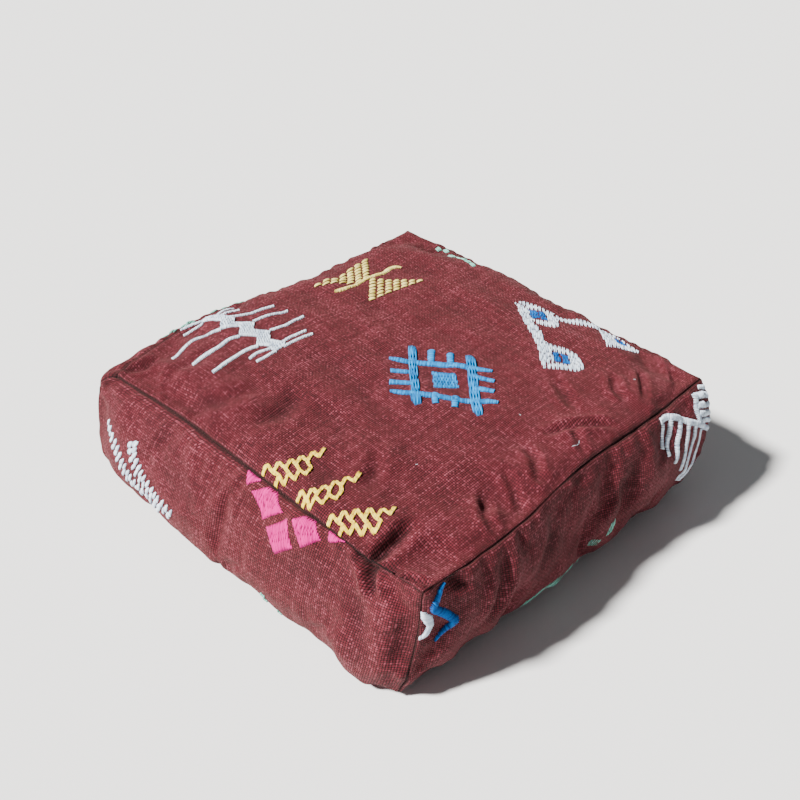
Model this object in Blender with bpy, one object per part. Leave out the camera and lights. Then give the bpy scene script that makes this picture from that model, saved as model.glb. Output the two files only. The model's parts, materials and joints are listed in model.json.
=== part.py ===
"""A square floor cushion: a woven cover with raised thread motifs and a zip, a cotton bag, and filling.

The cushion lies on the floor with its origin under its middle and +Z up. The front panel faces -Y,
the right panel +X, and the zip runs along X at mid height of the back, which faces +Y.
"""
import math

import bmesh
import bpy
import numpy as np
from mathutils.geometry import delaunay_2d_cdt

# Overall sizes, in metres
SEAM_SQUARE = 0.600  # side of the square that the top seam and the bottom seam run round
TOP_SEAM_HEIGHT = 0.195  # top seam above the floor
BOTTOM_SEAM_HEIGHT = 0.012  # bottom seam above the floor
TOP_CROWN = 0.022  # how far the middle of the top rises above the top seam
SIDE_BULGE = 0.026  # how far the middle of a side stands out beyond its seams
CORNER_BOW = 0.012  # how much of that bulge the upright corner seams share

# Cloth
CLOTH_THICKNESS = 0.0020
SEAM_ALLOWANCE = 0.0080  # strip of each panel that is turned in at its seams
SEAM_GAP = 0.0003  # clearance between two turned-in strips

# Inner bag and filling
BAG_EDGE_PLAY = 0.0016  # between the bag's edges and the turned-in strips
BAG_PLAY = 0.0025  # between the bag and the slider, and so between the bag and the middle of a panel
BAG_THICKNESS = 0.0012
FILLING_CLEARANCE = 0.0004
BAG_MOUTH_LENGTH = 0.240
BAG_MOUTH_WIDTH = 0.008

# Zip
ZIP_LENGTH = 0.420  # length of the row of coil
ZIP_SLOT_PLAY = 0.0014  # between the slider and the edge of each back cloth
ZIP_SET_BACK = 0.012  # how much less than the side bulge the cloth stands out beside the zip
TAPE_WIDTH = 0.014
TAPE_THICKNESS = 0.0008
TAPE_OVERHANG = 0.012  # tape beyond each end of the coil
TAPE_MARGIN = 0.0012  # level cloth beyond each tape
COIL_WIDTH = 0.0022
COIL_HEIGHT = 0.0018
TOUCH_GAP = 0.0003  # between pieces that touch and do not move
SLIDE_GAP = 0.0004  # between the slider and what it slides on
SLIDER_LENGTH = 0.0120
SLIDER_PLATE = 0.0010
FLANGE_THICKNESS = 0.0010
WEB_THICKNESS = 0.0008
CROWN_LENGTH = 0.0080
CROWN_WIDTH = 0.0016
CROWN_WALL = 0.0006  # metal above the crown's eye, and plate left clear below it
CROWN_PLAY = 0.0006  # between the pull's bar and the crown's eye
PULL_LENGTH = 0.030
PULL_THICKNESS = 0.0010
PULL_SIDE_PLAY = 0.0010  # between the crown and each side of the pull's eye
PULL_END_PLAY = 0.0016  # between the crown and the far end of the pull's eye
PULL_ARM = 0.0014  # width of the pull's metal beside its eye
STOP_LENGTH = 0.0030
STOP_HEIGHT = 0.0016
COIL_ROUNDING = 0.0004
STOP_ROUNDING = 0.0003

# Thread motifs
THREAD_HEIGHT = 0.0012  # how far a motif stands off the cloth
THREAD_GAP = 0.0005  # clearance under a motif
WINDOW_GAP = 0.0012  # how far a window's corners stand back from the patch that fills it
PATTERN_SQUARE = 0.600  # width of the panel that the motifs' points are drawn on
PATTERN_TOP = 0.195  # height of the top seam on the side panel that they are drawn on
PATTERN_BOTTOM = 0.012  # height of its bottom seam
PATTERN_MARGIN = 0.004  # between a motif and a seam
MOTIF_STEP = 0.012  # longest edge of a motif's mesh

# Sampling of the curved faces: grid lines along one side of a panel
PANEL_LINES = 11
BAG_LINES = 7
CROWDING = 0.35  # an even line closer than this share of the spacing to an extra line is left out

# Values worked out from the sizes above
HALF = SEAM_SQUARE / 2
MIDDLE_HEIGHT = (TOP_SEAM_HEIGHT + BOTTOM_SEAM_HEIGHT) / 2
HALF_HEIGHT = (TOP_SEAM_HEIGHT - BOTTOM_SEAM_HEIGHT) / 2
TOP_FLAT = 0.45  # share of the half width where the top crown is level along its middle line
SIDE_FLAT = 0.50
BOTTOM_FLAT = 0.80
BACK_FLAT = (ZIP_LENGTH / 2 + TAPE_OVERHANG) / HALF
WEB_SLOT = WEB_THICKNESS + 2 * SLIDE_GAP  # opening between the two tapes, which the slider's web runs in
COIL_REACH = WEB_SLOT / 2 + COIL_WIDTH  # outer edge of each row of coil, from the middle of the zip
SLIDER_REACH = COIL_REACH + SLIDE_GAP + FLANGE_THICKNESS
ZIP_SLOT = 2 * (SLIDER_REACH + ZIP_SLOT_PLAY)  # width of the opening between the two back cloths
ZIP_FLAT = WEB_SLOT / 2 + TAPE_WIDTH + TAPE_MARGIN  # half width of the level stretch of the back
CROWN_HEIGHT = PULL_THICKNESS + 2 * (CROWN_WALL + CROWN_PLAY)
PULL_EYE_REACH = CROWN_WIDTH / 2 + PULL_SIDE_PLAY
PULL_EYE_LENGTH = CROWN_LENGTH / 2 + PULL_END_PLAY
PULL_WIDTH = 2 * (PULL_EYE_REACH + PULL_ARM)
BAG_INSET = SEAM_ALLOWANCE + CLOTH_THICKNESS / math.sqrt(2.0) + BAG_EDGE_PLAY
ZIP_DEPTH = CLOTH_THICKNESS + TOUCH_GAP + TAPE_THICKNESS + SLIDE_GAP + SLIDER_PLATE
BAG_CLEARANCE = ZIP_DEPTH + BAG_PLAY  # bag inside the outer face of the cover, at the middle of a panel
ZIP_STAND = SIDE_BULGE - ZIP_SET_BACK
PEAK_SHARE = 0.5  # share of the half height at which each back cloth stands out furthest

COLOURS = {
    "cover_cloth": (0.155, 0.045, 0.050),
    "thread_white": (0.80, 0.84, 0.88),
    "thread_sky_blue": (0.06, 0.42, 0.75),
    "thread_deep_blue": (0.02, 0.18, 0.60),
    "thread_yellow": (0.85, 0.58, 0.16),
    "thread_cream": (0.80, 0.66, 0.42),
    "thread_pink": (0.90, 0.12, 0.42),
    "thread_mint": (0.20, 0.55, 0.42),
    "zip_tape": (0.10, 0.025, 0.028),
    "zip_coil": (0.12, 0.030, 0.034),
    "zip_metal": (0.55, 0.50, 0.42),
    "bag_cotton": (0.75, 0.71, 0.62),
    "fibre_filling": (0.86, 0.85, 0.82),
}
METAL_SLOTS = ("zip_metal",)

# Each side of the cushion: the way across it, the way up it, and the way out of it
AXES = {
    "top": ((1, 0, 0), (0, 1, 0), (0, 0, 1)),
    "bottom": ((1, 0, 0), (0, -1, 0), (0, 0, -1)),
    "front": ((1, 0, 0), (0, 0, 1), (0, -1, 0)),
    "right": ((0, 1, 0), (0, 0, 1), (1, 0, 0)),
    "back": ((-1, 0, 0), (0, 0, 1), (0, 1, 0)),
    "left": ((0, -1, 0), (0, 0, 1), (-1, 0, 0)),
}
SIDES = ("front", "right", "back", "left")


def clear_scene():
    """Remove every object, so that the script starts from nothing."""
    for item in list(bpy.data.objects):
        bpy.data.objects.remove(item, do_unlink=True)


def material(slot):
    """The named finish, made once."""
    found = bpy.data.materials.get(slot)
    if found:
        return found
    made = bpy.data.materials.new(slot)
    made.use_nodes = True
    shader = made.node_tree.nodes["Principled BSDF"]
    shader.inputs["Base Color"].default_value = (*COLOURS[slot], 1.0)
    shader.inputs["Roughness"].default_value = 0.35 if slot in METAL_SLOTS else 0.9
    shader.inputs["Metallic"].default_value = 1.0 if slot in METAL_SLOTS else 0.0
    return made


def add_object(name, mesh, slot, smooth=True):
    """Put a mesh in the scene under its name, with its finish."""
    made = bpy.data.objects.new(name, mesh)
    bpy.context.scene.collection.objects.link(made)
    mesh.materials.append(material(slot))
    if smooth:
        mesh.shade_smooth()
        mesh.set_sharp_from_angle(angle=math.radians(40))
    return made


def mesh_from(name, points, faces):
    """A mesh from plain lists of points and faces."""
    mesh = bpy.data.meshes.new(name)
    mesh.from_pydata([tuple(point) for point in points], [], faces)
    mesh.validate()
    return mesh


def swell(share, flat_share):
    """1 over the flat middle of a panel, then falling along a parabola to 0 at its edge."""
    beyond = np.clip((np.abs(share) - flat_share) / (1.0 - flat_share), 0.0, 1.0)
    return 1.0 - beyond**2


def corner_bow(up, half_height):
    """How far the upright corner seams stand out at a height, measured from mid height."""
    return CORNER_BOW * swell(up / half_height, 0.0)


def back_profile(up, half_height):
    """How far the back stands out: level beside the zip, then out to its peak, then in to the seam."""
    height = np.abs(up)
    peak = ZIP_FLAT + PEAK_SHARE * (half_height - ZIP_FLAT)
    to_peak = np.clip((height - ZIP_FLAT) / (peak - ZIP_FLAT), 0.0, 1.0)
    eased = to_peak**2 * (3.0 - 2.0 * to_peak)
    rising = ZIP_STAND + (SIDE_BULGE - ZIP_STAND) * eased
    falling = SIDE_BULGE * swell((height - peak) / (half_height - peak), 0.0)
    return np.where(height < peak, rising, falling)


def face_points(side, across, up, inset=0.0, slack=0.0):
    """Points on one side of the cushion, from distances across and up from the middle of that side.

    The side's seams lie inset inside the cover's seams. Its middle stands out by slack more than the
    cover's own side does, so that an inner layer lies close to the outer one.
    """
    across = np.asarray(across, dtype=float)
    up = np.asarray(up, dtype=float)
    half = HALF - inset
    half_height = HALF_HEIGHT - inset
    way_across, way_up, way_out = (np.array(way, dtype=float) for way in AXES[side])
    if side == "top":
        out = half_height + (TOP_CROWN + slack) * swell(across / half, TOP_FLAT) * swell(up / half, TOP_FLAT)
    elif side == "bottom":
        drop = BOTTOM_SEAM_HEIGHT + slack
        out = half_height + drop * swell(across / half, BOTTOM_FLAT) * swell(up / half, BOTTOM_FLAT)
    else:
        bow = corner_bow(up, half_height)
        if side == "back":
            full = back_profile(up, half_height) - bow
            rise = (full + slack * swell(up / half_height, 0.0)) * swell(across / half, BACK_FLAT)
        else:
            full = (SIDE_BULGE - CORNER_BOW + slack) * swell(up / half_height, 0.0)
            rise = full * swell(across / half, SIDE_FLAT)
        out = half + bow + rise
        across = across * (1.0 + bow / half)
    middle = np.array((0.0, 0.0, MIDDLE_HEIGHT))
    return middle + across[..., None] * way_across + up[..., None] * way_up + out[..., None] * way_out


def lines_between(low, high, count, extra=()):
    """Evenly spaced grid lines from low to high. Each extra line takes the place of one close to it."""
    even = np.linspace(low, high, count)
    wanted = np.array([value for value in extra if low < value < high])
    if not len(wanted):
        return even
    nearest = np.abs(even[1:-1, None] - wanted[None, :]).min(axis=1)
    kept = even[1:-1][nearest > CROWDING * (high - low) / (count - 1)]
    return np.unique(np.concatenate([even[[0, -1]], kept, wanted]))


def cell_triangles(corner, columns):
    """The two triangles of a grid cell. Layers that nest share this diagonal, so they stay parallel."""
    across = corner + columns + 1
    return [(corner, corner + 1, across), (corner, across, corner + columns)]


def rim_indices(rows, columns):
    """The grid positions round the edge of a grid, anticlockwise, starting at the bottom left."""
    bottom = [(0, column) for column in range(columns - 1)]
    right = [(row, columns - 1) for row in range(rows - 1)]
    top = [(rows - 1, column) for column in range(columns - 1, 0, -1)]
    left = [(row, 0) for row in range(rows - 1, 0, -1)]
    return bottom + right + top + left


def cloth_panel(name, side, across_lines, up_lines, folded, bottom_edge=None):
    """One cloth panel: a shell with its seam allowances turned in along the folded edges.

    folded holds one flag each for the left, right, bottom and top edges. bottom_edge and its mirror
    at the top may replace the first or last height by a curve of heights, one for each line across.
    """
    left_fold, right_fold, bottom_fold, top_fold = folded
    across, up = np.meshgrid(across_lines, up_lines)
    if bottom_edge is not None:
        edge_row = 0 if not bottom_fold else -1
        up[edge_row] = bottom_edge
    fold_depth = CLOTH_THICKNESS * (1.0 + math.sqrt(2.0))
    inner_across = across.copy()
    inner_up = up.copy()
    inner_across[:, 0] += fold_depth * left_fold
    inner_across[:, -1] -= fold_depth * right_fold
    inner_up[0] += fold_depth * bottom_fold
    inner_up[-1] -= fold_depth * top_fold
    way_across, way_up, way_out = (np.array(way, dtype=float) for way in AXES[side])
    outer = face_points(side, across, up)
    inner = face_points(side, inner_across, inner_up) - CLOTH_THICKNESS * way_out
    rows, columns = across.shape
    rim = rim_indices(rows, columns)
    outer_rim = []
    inner_rim = []
    for row, column in rim:
        turn_across = left_fold * (column == 0) - right_fold * (column == columns - 1)
        turn_up = bottom_fold * (row == 0) - top_fold * (row == rows - 1)
        inward = turn_across * way_across + turn_up * way_up
        if turn_across or turn_up:
            tip = outer[row, column] + SEAM_ALLOWANCE * (inward - way_out)
            outer_rim.append(tip)
            inner_rim.append(tip + CLOTH_THICKNESS / math.sqrt(2.0) * (inward + way_out))
        else:
            outer_rim.append(outer[row, column] - CLOTH_THICKNESS / 3.0 * way_out)
            inner_rim.append(inner[row, column] + CLOTH_THICKNESS / 3.0 * way_out)
    points = np.concatenate([outer.reshape(-1, 3), inner.reshape(-1, 3), outer_rim, inner_rim])
    inner_start = rows * columns
    outer_rim_start = 2 * inner_start
    inner_rim_start = outer_rim_start + len(rim)
    faces = []
    for row in range(rows - 1):
        for column in range(columns - 1):
            for triangle in cell_triangles(row * columns + column, columns):
                faces.append(triangle)
                faces.append(tuple(inner_start + index for index in reversed(triangle)))
    for here in range(len(rim)):
        there = (here + 1) % len(rim)
        start = rim[here][0] * columns + rim[here][1]
        end = rim[there][0] * columns + rim[there][1]
        faces.append((end, start, outer_rim_start + here, outer_rim_start + there))
        faces.append(
            (inner_start + start, inner_start + end, inner_rim_start + there, inner_rim_start + here)
        )
        faces.append(
            (outer_rim_start + there, outer_rim_start + here, inner_rim_start + here, inner_rim_start + there)
        )
    return add_object(name, mesh_from(name, points, faces), "cover_cloth")


def make_cover():
    """The six sides of the cover. The back is two cloths, because the zip lies between them."""
    edge = HALF - SEAM_GAP
    high = HALF_HEIGHT - SEAM_GAP
    all_folded = (1, 1, 1, 1)
    square = lines_between(-edge, edge, PANEL_LINES)
    flat = BOTTOM_FLAT * HALF
    base = lines_between(-edge, edge, PANEL_LINES, (-flat, flat))
    heights = lines_between(-high, high, PANEL_LINES)
    cloth_panel("top_panel", "top", square, square, all_folded)
    cloth_panel("bottom_panel", "bottom", base, base, all_folded)
    for side in ("front", "right", "left"):
        cloth_panel(f"{side}_panel", side, square, heights, all_folded)
    coil_end = ZIP_LENGTH / 2
    closed = coil_end + TAPE_OVERHANG * 0.8
    along = lines_between(-edge, edge, PANEL_LINES, (-closed, -coil_end, coil_end, closed))
    slot = np.where(np.abs(along) < closed - 1e-6, ZIP_SLOT / 2, SEAM_GAP)
    peak = ZIP_FLAT + PEAK_SHARE * (HALF_HEIGHT - ZIP_FLAT)
    upper = lines_between(ZIP_SLOT / 2, high, PANEL_LINES // 2 + 2, (ZIP_FLAT, peak))
    cloth_panel("back_panel_upper", "back", along, upper, (1, 1, 0, 1), slot)
    cloth_panel("back_panel_lower", "back", along, -upper[::-1], (1, 1, 1, 0), -slot)


def bag_skin(inset, slack, mouth):
    """The six sides of an inner layer as points and faces, and the grid edges round its mouth.

    The mouth is a slit at the middle of the back. Where mouth is false the skin is whole.
    """
    half = HALF - inset
    high = HALF_HEIGHT - inset
    mouth_end = BAG_MOUTH_LENGTH / 2
    mouth_lip = BAG_MOUTH_WIDTH / 2
    wide = lines_between(-half, half, BAG_LINES, (-mouth_end, mouth_end))
    tall = lines_between(-high, high, BAG_LINES, (-mouth_lip, mouth_lip))
    points = []
    faces = []
    for side in AXES:
        upright = side in SIDES
        across, up = np.meshgrid(wide, tall if upright else wide)
        start = len(points)
        points.extend(face_points(side, across, up, inset, slack).reshape(-1, 3))
        rows, columns = across.shape
        for row in range(rows - 1):
            for column in range(columns - 1):
                middle_across = (across[row, column] + across[row, column + 1]) / 2
                middle_up = (up[row, column] + up[row + 1, column]) / 2
                in_mouth = abs(middle_across) < mouth_end and abs(middle_up) < mouth_lip
                if mouth and side == "back" and in_mouth:
                    continue
                faces += cell_triangles(start + row * columns + column, columns)
    return points, faces


def make_bag_and_filling():
    """The cotton bag, a thin shell with an open stuffing mouth, and the filling inside it."""
    bag = bmesh.new()
    layers = (
        (BAG_INSET, BAG_INSET - BAG_CLEARANCE, False),
        (BAG_INSET + BAG_THICKNESS, BAG_INSET - BAG_CLEARANCE, True),
    )
    for inset, slack, flipped in layers:
        points, faces = bag_skin(inset, slack, True)
        corners = [bag.verts.new(tuple(point)) for point in points]
        for face in faces:
            order = reversed(face) if flipped else face
            bag.faces.new([corners[index] for index in order])
    bmesh.ops.remove_doubles(bag, verts=bag.verts, dist=1e-5)
    lips = [edge for edge in bag.edges if edge.is_boundary]
    bmesh.ops.bridge_loops(bag, edges=lips)
    bmesh.ops.recalc_face_normals(bag, faces=bag.faces)
    mesh = bpy.data.meshes.new("inner_bag")
    bag.to_mesh(mesh)
    bag.free()
    add_object("inner_bag", mesh, "bag_cotton")

    inset = BAG_INSET + BAG_THICKNESS + FILLING_CLEARANCE
    points, faces = bag_skin(inset, BAG_INSET - BAG_CLEARANCE, False)
    filling = bmesh.new()
    corners = [filling.verts.new(tuple(point)) for point in points]
    for face in faces:
        filling.faces.new([corners[index] for index in face])
    bmesh.ops.remove_doubles(filling, verts=filling.verts, dist=1e-5)
    mesh = bpy.data.meshes.new("fibre_filling")
    filling.to_mesh(mesh)
    filling.free()
    add_object("fibre_filling", mesh, "fibre_filling")


def block(low, high):
    """A box between two corners, as a bmesh."""
    made = bmesh.new()
    bmesh.ops.create_cube(made, size=1.0)
    size = np.array(high) - np.array(low)
    middle = (np.array(high) + np.array(low)) / 2
    bmesh.ops.scale(made, vec=tuple(size), verts=made.verts)
    bmesh.ops.translate(made, vec=tuple(middle), verts=made.verts)
    return made


def block_object(name, low, high, slot, bevel=0.0):
    """A box between two corners, with its edges rounded."""
    made = block(low, high)
    mesh = bpy.data.meshes.new(name)
    made.to_mesh(mesh)
    made.free()
    item = add_object(name, mesh, slot)
    if bevel:
        rounding = item.modifiers.new("rounding", "BEVEL")
        rounding.width = bevel
        rounding.segments = 2
        rounding.limit_method = "ANGLE"
    return item


def extruded(name, outline, low, high, slot, axis, holes=()):
    """A flat outline carried along X, Y or Z as one closed body. Its holes run clockwise and stay open."""
    corners = []
    loops = []
    for loop in (outline, *holes):
        loops.append(list(range(len(corners), len(corners) + len(loop))))
        corners.extend(loop)
    flat = delaunay_2d_cdt(corners, [], loops, 5, 1e-7)
    order = {"x": (2, 0, 1), "y": (0, 2, 1), "z": (0, 1, 2)}[axis]
    shape = bmesh.new()
    verts = []
    for point in flat[0]:
        local = (point[0], point[1], low)
        verts.append(shape.verts.new([local[index] for index in order]))
    for face in flat[2]:
        shape.faces.new([verts[index] for index in face])
    made = bmesh.ops.extrude_face_region(shape, geom=shape.faces[:])
    moved = [item for item in made["geom"] if isinstance(item, bmesh.types.BMVert)]
    step = [0.0, 0.0, high - low]
    bmesh.ops.translate(shape, vec=[step[index] for index in order], verts=moved)
    bmesh.ops.recalc_face_normals(shape, faces=shape.faces)
    mesh = bpy.data.meshes.new(name)
    shape.to_mesh(mesh)
    shape.free()
    return add_object(name, mesh, slot)


def make_zip():
    """Two tapes with their rows of coil, the stops, the slider at the closed end, and its pull."""
    cloth_face = HALF + ZIP_STAND
    tape_out = cloth_face - CLOTH_THICKNESS - TOUCH_GAP
    tape_in = tape_out - TAPE_THICKNESS
    coil_in = tape_out + TOUCH_GAP
    coil_out = coil_in + COIL_HEIGHT
    coil_end = ZIP_LENGTH / 2
    tape_end = coil_end + TAPE_OVERHANG
    near = WEB_SLOT / 2
    slider_near = -coil_end + STOP_LENGTH
    for name, way in (("upper", 1), ("lower", -1)):
        tape = sorted((MIDDLE_HEIGHT + way * near, MIDDLE_HEIGHT + way * (near + TAPE_WIDTH)))
        coil = sorted((MIDDLE_HEIGHT + way * near, MIDDLE_HEIGHT + way * (near + COIL_WIDTH)))
        block_object(
            f"zip_tape_{name}",
            (-tape_end, tape_in, tape[0]),
            (tape_end, tape_out, tape[1]),
            "zip_tape",
        )
        block_object(
            f"zip_coil_{name}",
            (-coil_end, coil_in, coil[0]),
            (coil_end, coil_out, coil[1]),
            "zip_coil",
            COIL_ROUNDING,
        )
        stop_far = -coil_end - TOUCH_GAP
        block_object(
            f"zip_top_stop_{name}",
            (stop_far - STOP_LENGTH, coil_in, coil[0]),
            (stop_far, coil_in + STOP_HEIGHT, coil[1]),
            "zip_metal",
            STOP_ROUNDING,
        )
    stop_near = coil_end + TOUCH_GAP
    block_object(
        "zip_bottom_stop",
        (stop_near, coil_in, MIDDLE_HEIGHT - COIL_REACH),
        (stop_near + STOP_LENGTH, coil_in + STOP_HEIGHT, MIDDLE_HEIGHT + COIL_REACH),
        "zip_metal",
        STOP_ROUNDING,
    )

    # The slider's section, as (outwards, upwards): a plate under the tapes, a thin web between the
    # rows of coil, and a plate over them with a flange down each side.
    plate_in = coil_out + SLIDE_GAP
    plate_out = plate_in + SLIDER_PLATE
    under_out = tape_in - SLIDE_GAP
    under_in = under_out - SLIDER_PLATE
    flange_in = tape_out + SLIDE_GAP
    flange_near = COIL_REACH + SLIDE_GAP
    half_web = WEB_THICKNESS / 2
    half_section = [
        (under_in, flange_near),
        (under_out, flange_near),
        (under_out, half_web),
        (plate_in, half_web),
        (plate_in, flange_near),
        (flange_in, flange_near),
        (flange_in, SLIDER_REACH),
        (plate_out, SLIDER_REACH),
    ]
    section = [(out, MIDDLE_HEIGHT + up) for out, up in half_section]
    section += [(out, MIDDLE_HEIGHT - up) for out, up in reversed(half_section)]
    slider_far = slider_near + SLIDER_LENGTH
    slider = extruded("zip_slider", section, slider_near, slider_far, "zip_metal", "x")

    # The crown is an arch on the slider with an eye for the pull's bar.
    pivot_x = (slider_near + slider_far) / 2
    eye_in = plate_out + CROWN_WALL
    eye_out = plate_out + CROWN_HEIGHT - CROWN_WALL
    half_eye = (eye_out - eye_in) / 2
    pivot_y = (eye_in + eye_out) / 2
    half_crown = CROWN_LENGTH / 2
    root = plate_out - SLIDER_PLATE / 2
    arch = [(pivot_x - half_crown, root), (pivot_x + half_crown, root)]
    for step in range(7):
        turn = math.radians(15 + 25 * step)
        reach_x = half_crown * math.cos(turn)
        reach_y = CROWN_HEIGHT * math.sin(turn) ** 0.5
        arch.append((pivot_x + reach_x, plate_out + reach_y))
    eye = [
        (pivot_x - half_eye, eye_in),
        (pivot_x - half_eye, eye_out),
        (pivot_x + half_eye, eye_out),
        (pivot_x + half_eye, eye_in),
    ]
    half_width = CROWN_WIDTH / 2
    crown = extruded(
        "crown_shape", arch, MIDDLE_HEIGHT - half_width, MIDDLE_HEIGHT + half_width, "zip_metal", "z", [eye]
    )
    crown.hide_render = True
    crown.display_type = "WIRE"
    joining = slider.modifiers.new("crown", "BOOLEAN")
    joining.operation = "UNION"
    joining.solver = "EXACT"
    joining.object = crown

    # The pull is a flat tab. Its eye goes round the crown, and the bar at the eye's end is the pivot.
    half_bar = PULL_THICKNESS / 2
    far = half_bar + PULL_EYE_LENGTH
    half_pull = PULL_WIDTH / 2
    tip = PULL_LENGTH - half_pull
    pull_outline = [(-half_bar, -half_pull), (tip, -half_pull)]
    for step in range(1, 8):
        turn = math.radians(-90 + 180 * step / 8)
        pull_outline.append((tip + half_pull * math.cos(turn), half_pull * math.sin(turn)))
    pull_outline += [(tip, half_pull), (-half_bar, half_pull)]
    side = PULL_EYE_REACH
    pull_eye = [(half_bar, -side), (half_bar, side), (far, side), (far, -side)]
    pull = extruded("zip_pull", pull_outline, -half_bar, half_bar, "zip_metal", "y", [pull_eye])
    pull.location = (pivot_x, pivot_y, MIDDLE_HEIGHT)


def bar(start, end, width):
    """A straight stroke of thread from start to end."""
    start = np.array(start, dtype=float)
    end = np.array(end, dtype=float)
    along = (end - start) / np.linalg.norm(end - start)
    aside = np.array((-along[1], along[0])) * width / 2
    return [start - aside, end - aside, end + aside, start + aside]


def path(points, width):
    """Strokes of thread joined end to end, with a small diamond over each bend to join them."""
    strokes = [bar(start, end, width) for start, end in zip(points, points[1:])]
    return strokes + [diamond(point, width * 0.56, width * 0.56) for point in points[1:-1]]


def diamond(centre, half_across, half_up):
    """A diamond of thread."""
    x, y = centre
    return [
        np.array((x - half_across, y)),
        np.array((x, y - half_up)),
        np.array((x + half_across, y)),
        np.array((x, y + half_up)),
    ]


def polygon(*corners):
    """A filled patch of thread with straight sides, with its corners put in anticlockwise order."""
    points = [np.array(corner, dtype=float) for corner in corners]
    turns = sum(start[0] * end[1] - start[1] * end[0] for start, end in zip(points, points[1:] + points[:1]))
    return points if turns > 0 else points[::-1]


def blend_points(start, end, share):
    """The point at a share of the way from start to end."""
    return (start[0] + (end[0] - start[0]) * share, start[1] + (end[1] - start[1]) * share)


def flat_limits(side):
    """How far a motif may reach across and up its panel, clear of the seams."""
    up = HALF_HEIGHT if side in SIDES else HALF
    return HALF - PATTERN_MARGIN, up - PATTERN_MARGIN


def pattern_stretch(side):
    """How much larger than the drawn pattern a panel is, across and up."""
    across = SEAM_SQUARE / PATTERN_SQUARE
    up = (TOP_SEAM_HEIGHT - BOTTOM_SEAM_HEIGHT) / (PATTERN_TOP - PATTERN_BOTTOM)
    return np.array((across, up if side in SIDES else across))


def from_middle(points):
    """Points on a side, given by their height above the floor, measured from the side's middle instead."""
    return [(across, height - (PATTERN_TOP + PATTERN_BOTTOM) / 2) for across, height in points]


def inside(shape, spot):
    """Whether a spot lies well inside a convex shape whose corners run anticlockwise."""
    for start, end in zip(shape, shape[1:] + shape[:1]):
        along = (end - start) / np.linalg.norm(end - start)
        if along[0] * (spot[1] - start[1]) - along[1] * (spot[0] - start[0]) < MOTIF_STEP * 0.3:
            return False
    return True


def grown(shape, margin):
    """A shape with each corner moved away from its middle by the margin."""
    middle = sum(shape) / len(shape)
    return [corner + (corner - middle) / np.linalg.norm(corner - middle) * margin for corner in shape]


def motif(name, side, shapes, slot, windows=()):
    """A raised patch of thread: flat shapes joined into one, laid on a panel and given a thickness.

    windows are shapes that another thread fills, so the patch stays open there with a clearance.
    """
    reach_across, reach_up = flat_limits(side)
    stretch = pattern_stretch(side)
    corners = []
    loops = []
    for shape in [*shapes, *[grown(window, WINDOW_GAP) for window in windows]]:
        loop = []
        for start, end in zip(shape, shape[1:] + shape[:1]):
            pieces = max(1, math.ceil(np.linalg.norm(end - start) / MOTIF_STEP))
            for piece in range(pieces):
                spot = (start + (end - start) * piece / pieces) * stretch
                loop.append(len(corners))
                across = float(np.clip(spot[0], -reach_across, reach_across))
                up = float(np.clip(spot[1], -reach_up, reach_up))
                corners.append((across, up))
        loops.append(loop)
    low = np.min(corners, axis=0) + MOTIF_STEP / 2
    high = np.max(corners, axis=0) - MOTIF_STEP / 2
    for across in np.arange(low[0], high[0], MOTIF_STEP):
        for up in np.arange(low[1], high[1], MOTIF_STEP):
            if any(inside(shape, np.array((across, up)) / stretch) for shape in shapes):
                corners.append((float(across), float(up)))
    flat = delaunay_2d_cdt(corners, [], loops, 0, 1e-5)
    kept = [face for face, source in zip(flat[2], flat[5]) if source and max(source) < len(shapes)]
    spots = np.array([tuple(point) for point in flat[0]])
    way_out = np.array(AXES[side][2], dtype=float)
    points = face_points(side, spots[:, 0], spots[:, 1]) + THREAD_GAP * way_out
    shape = bmesh.new()
    verts = [shape.verts.new(tuple(point)) for point in points]
    for face in kept:
        shape.faces.new([verts[index] for index in face])
    loose = [vert for vert in shape.verts if not vert.link_faces]
    bmesh.ops.delete(shape, geom=loose, context="VERTS")
    shape.normal_update()
    facing = sum((np.array(face.normal) @ way_out) * face.calc_area() for face in shape.faces)
    if facing < 0:
        bmesh.ops.reverse_faces(shape, faces=shape.faces[:])
    mesh = bpy.data.meshes.new(name)
    shape.to_mesh(mesh)
    shape.free()
    item = add_object(name, mesh, slot)
    thread = item.modifiers.new("thread", "SOLIDIFY")
    thread.thickness = THREAD_HEIGHT
    thread.offset = 1.0
    return item


def make_fence():
    """The sky blue fence on the top: two posts, two rails, short ticks between them, and a square."""
    width = 0.0075
    posts = [((-0.033, 0.038), (0.064, -0.060)), ((0.039, 0.081), (0.138, -0.010))]
    rails = [((-0.036, -0.006), (0.083, 0.080)), ((0.028, -0.061), (0.141, 0.028))]
    crossings = [[(-0.009, 0.014), (0.049, -0.045)], [(0.059, 0.063), (0.117, 0.009)]]
    shapes = [bar(start, end, width) for start, end in posts + rails]
    for share in (0.32, 0.66):
        for rail, way in ((0, -1), (1, 1)):
            foot = blend_points(crossings[0][rail], crossings[1][rail], share)
            shapes.append(bar(foot, (foot[0] + way * 0.018, foot[1] - way * 0.018), width))
        for post, way in ((0, -1), (1, 1)):
            foot = blend_points(crossings[post][0], crossings[post][1], share)
            shapes.append(bar(foot, (foot[0] + way * 0.023, foot[1] + way * 0.017), width))
    motif("blue_fence", "top", shapes, "thread_sky_blue")
    centre = polygon((0.031, 0.014), (0.055, -0.009), (0.079, 0.013), (0.055, 0.033))
    motif("blue_fence_square", "top", [centre], "thread_sky_blue")


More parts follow.
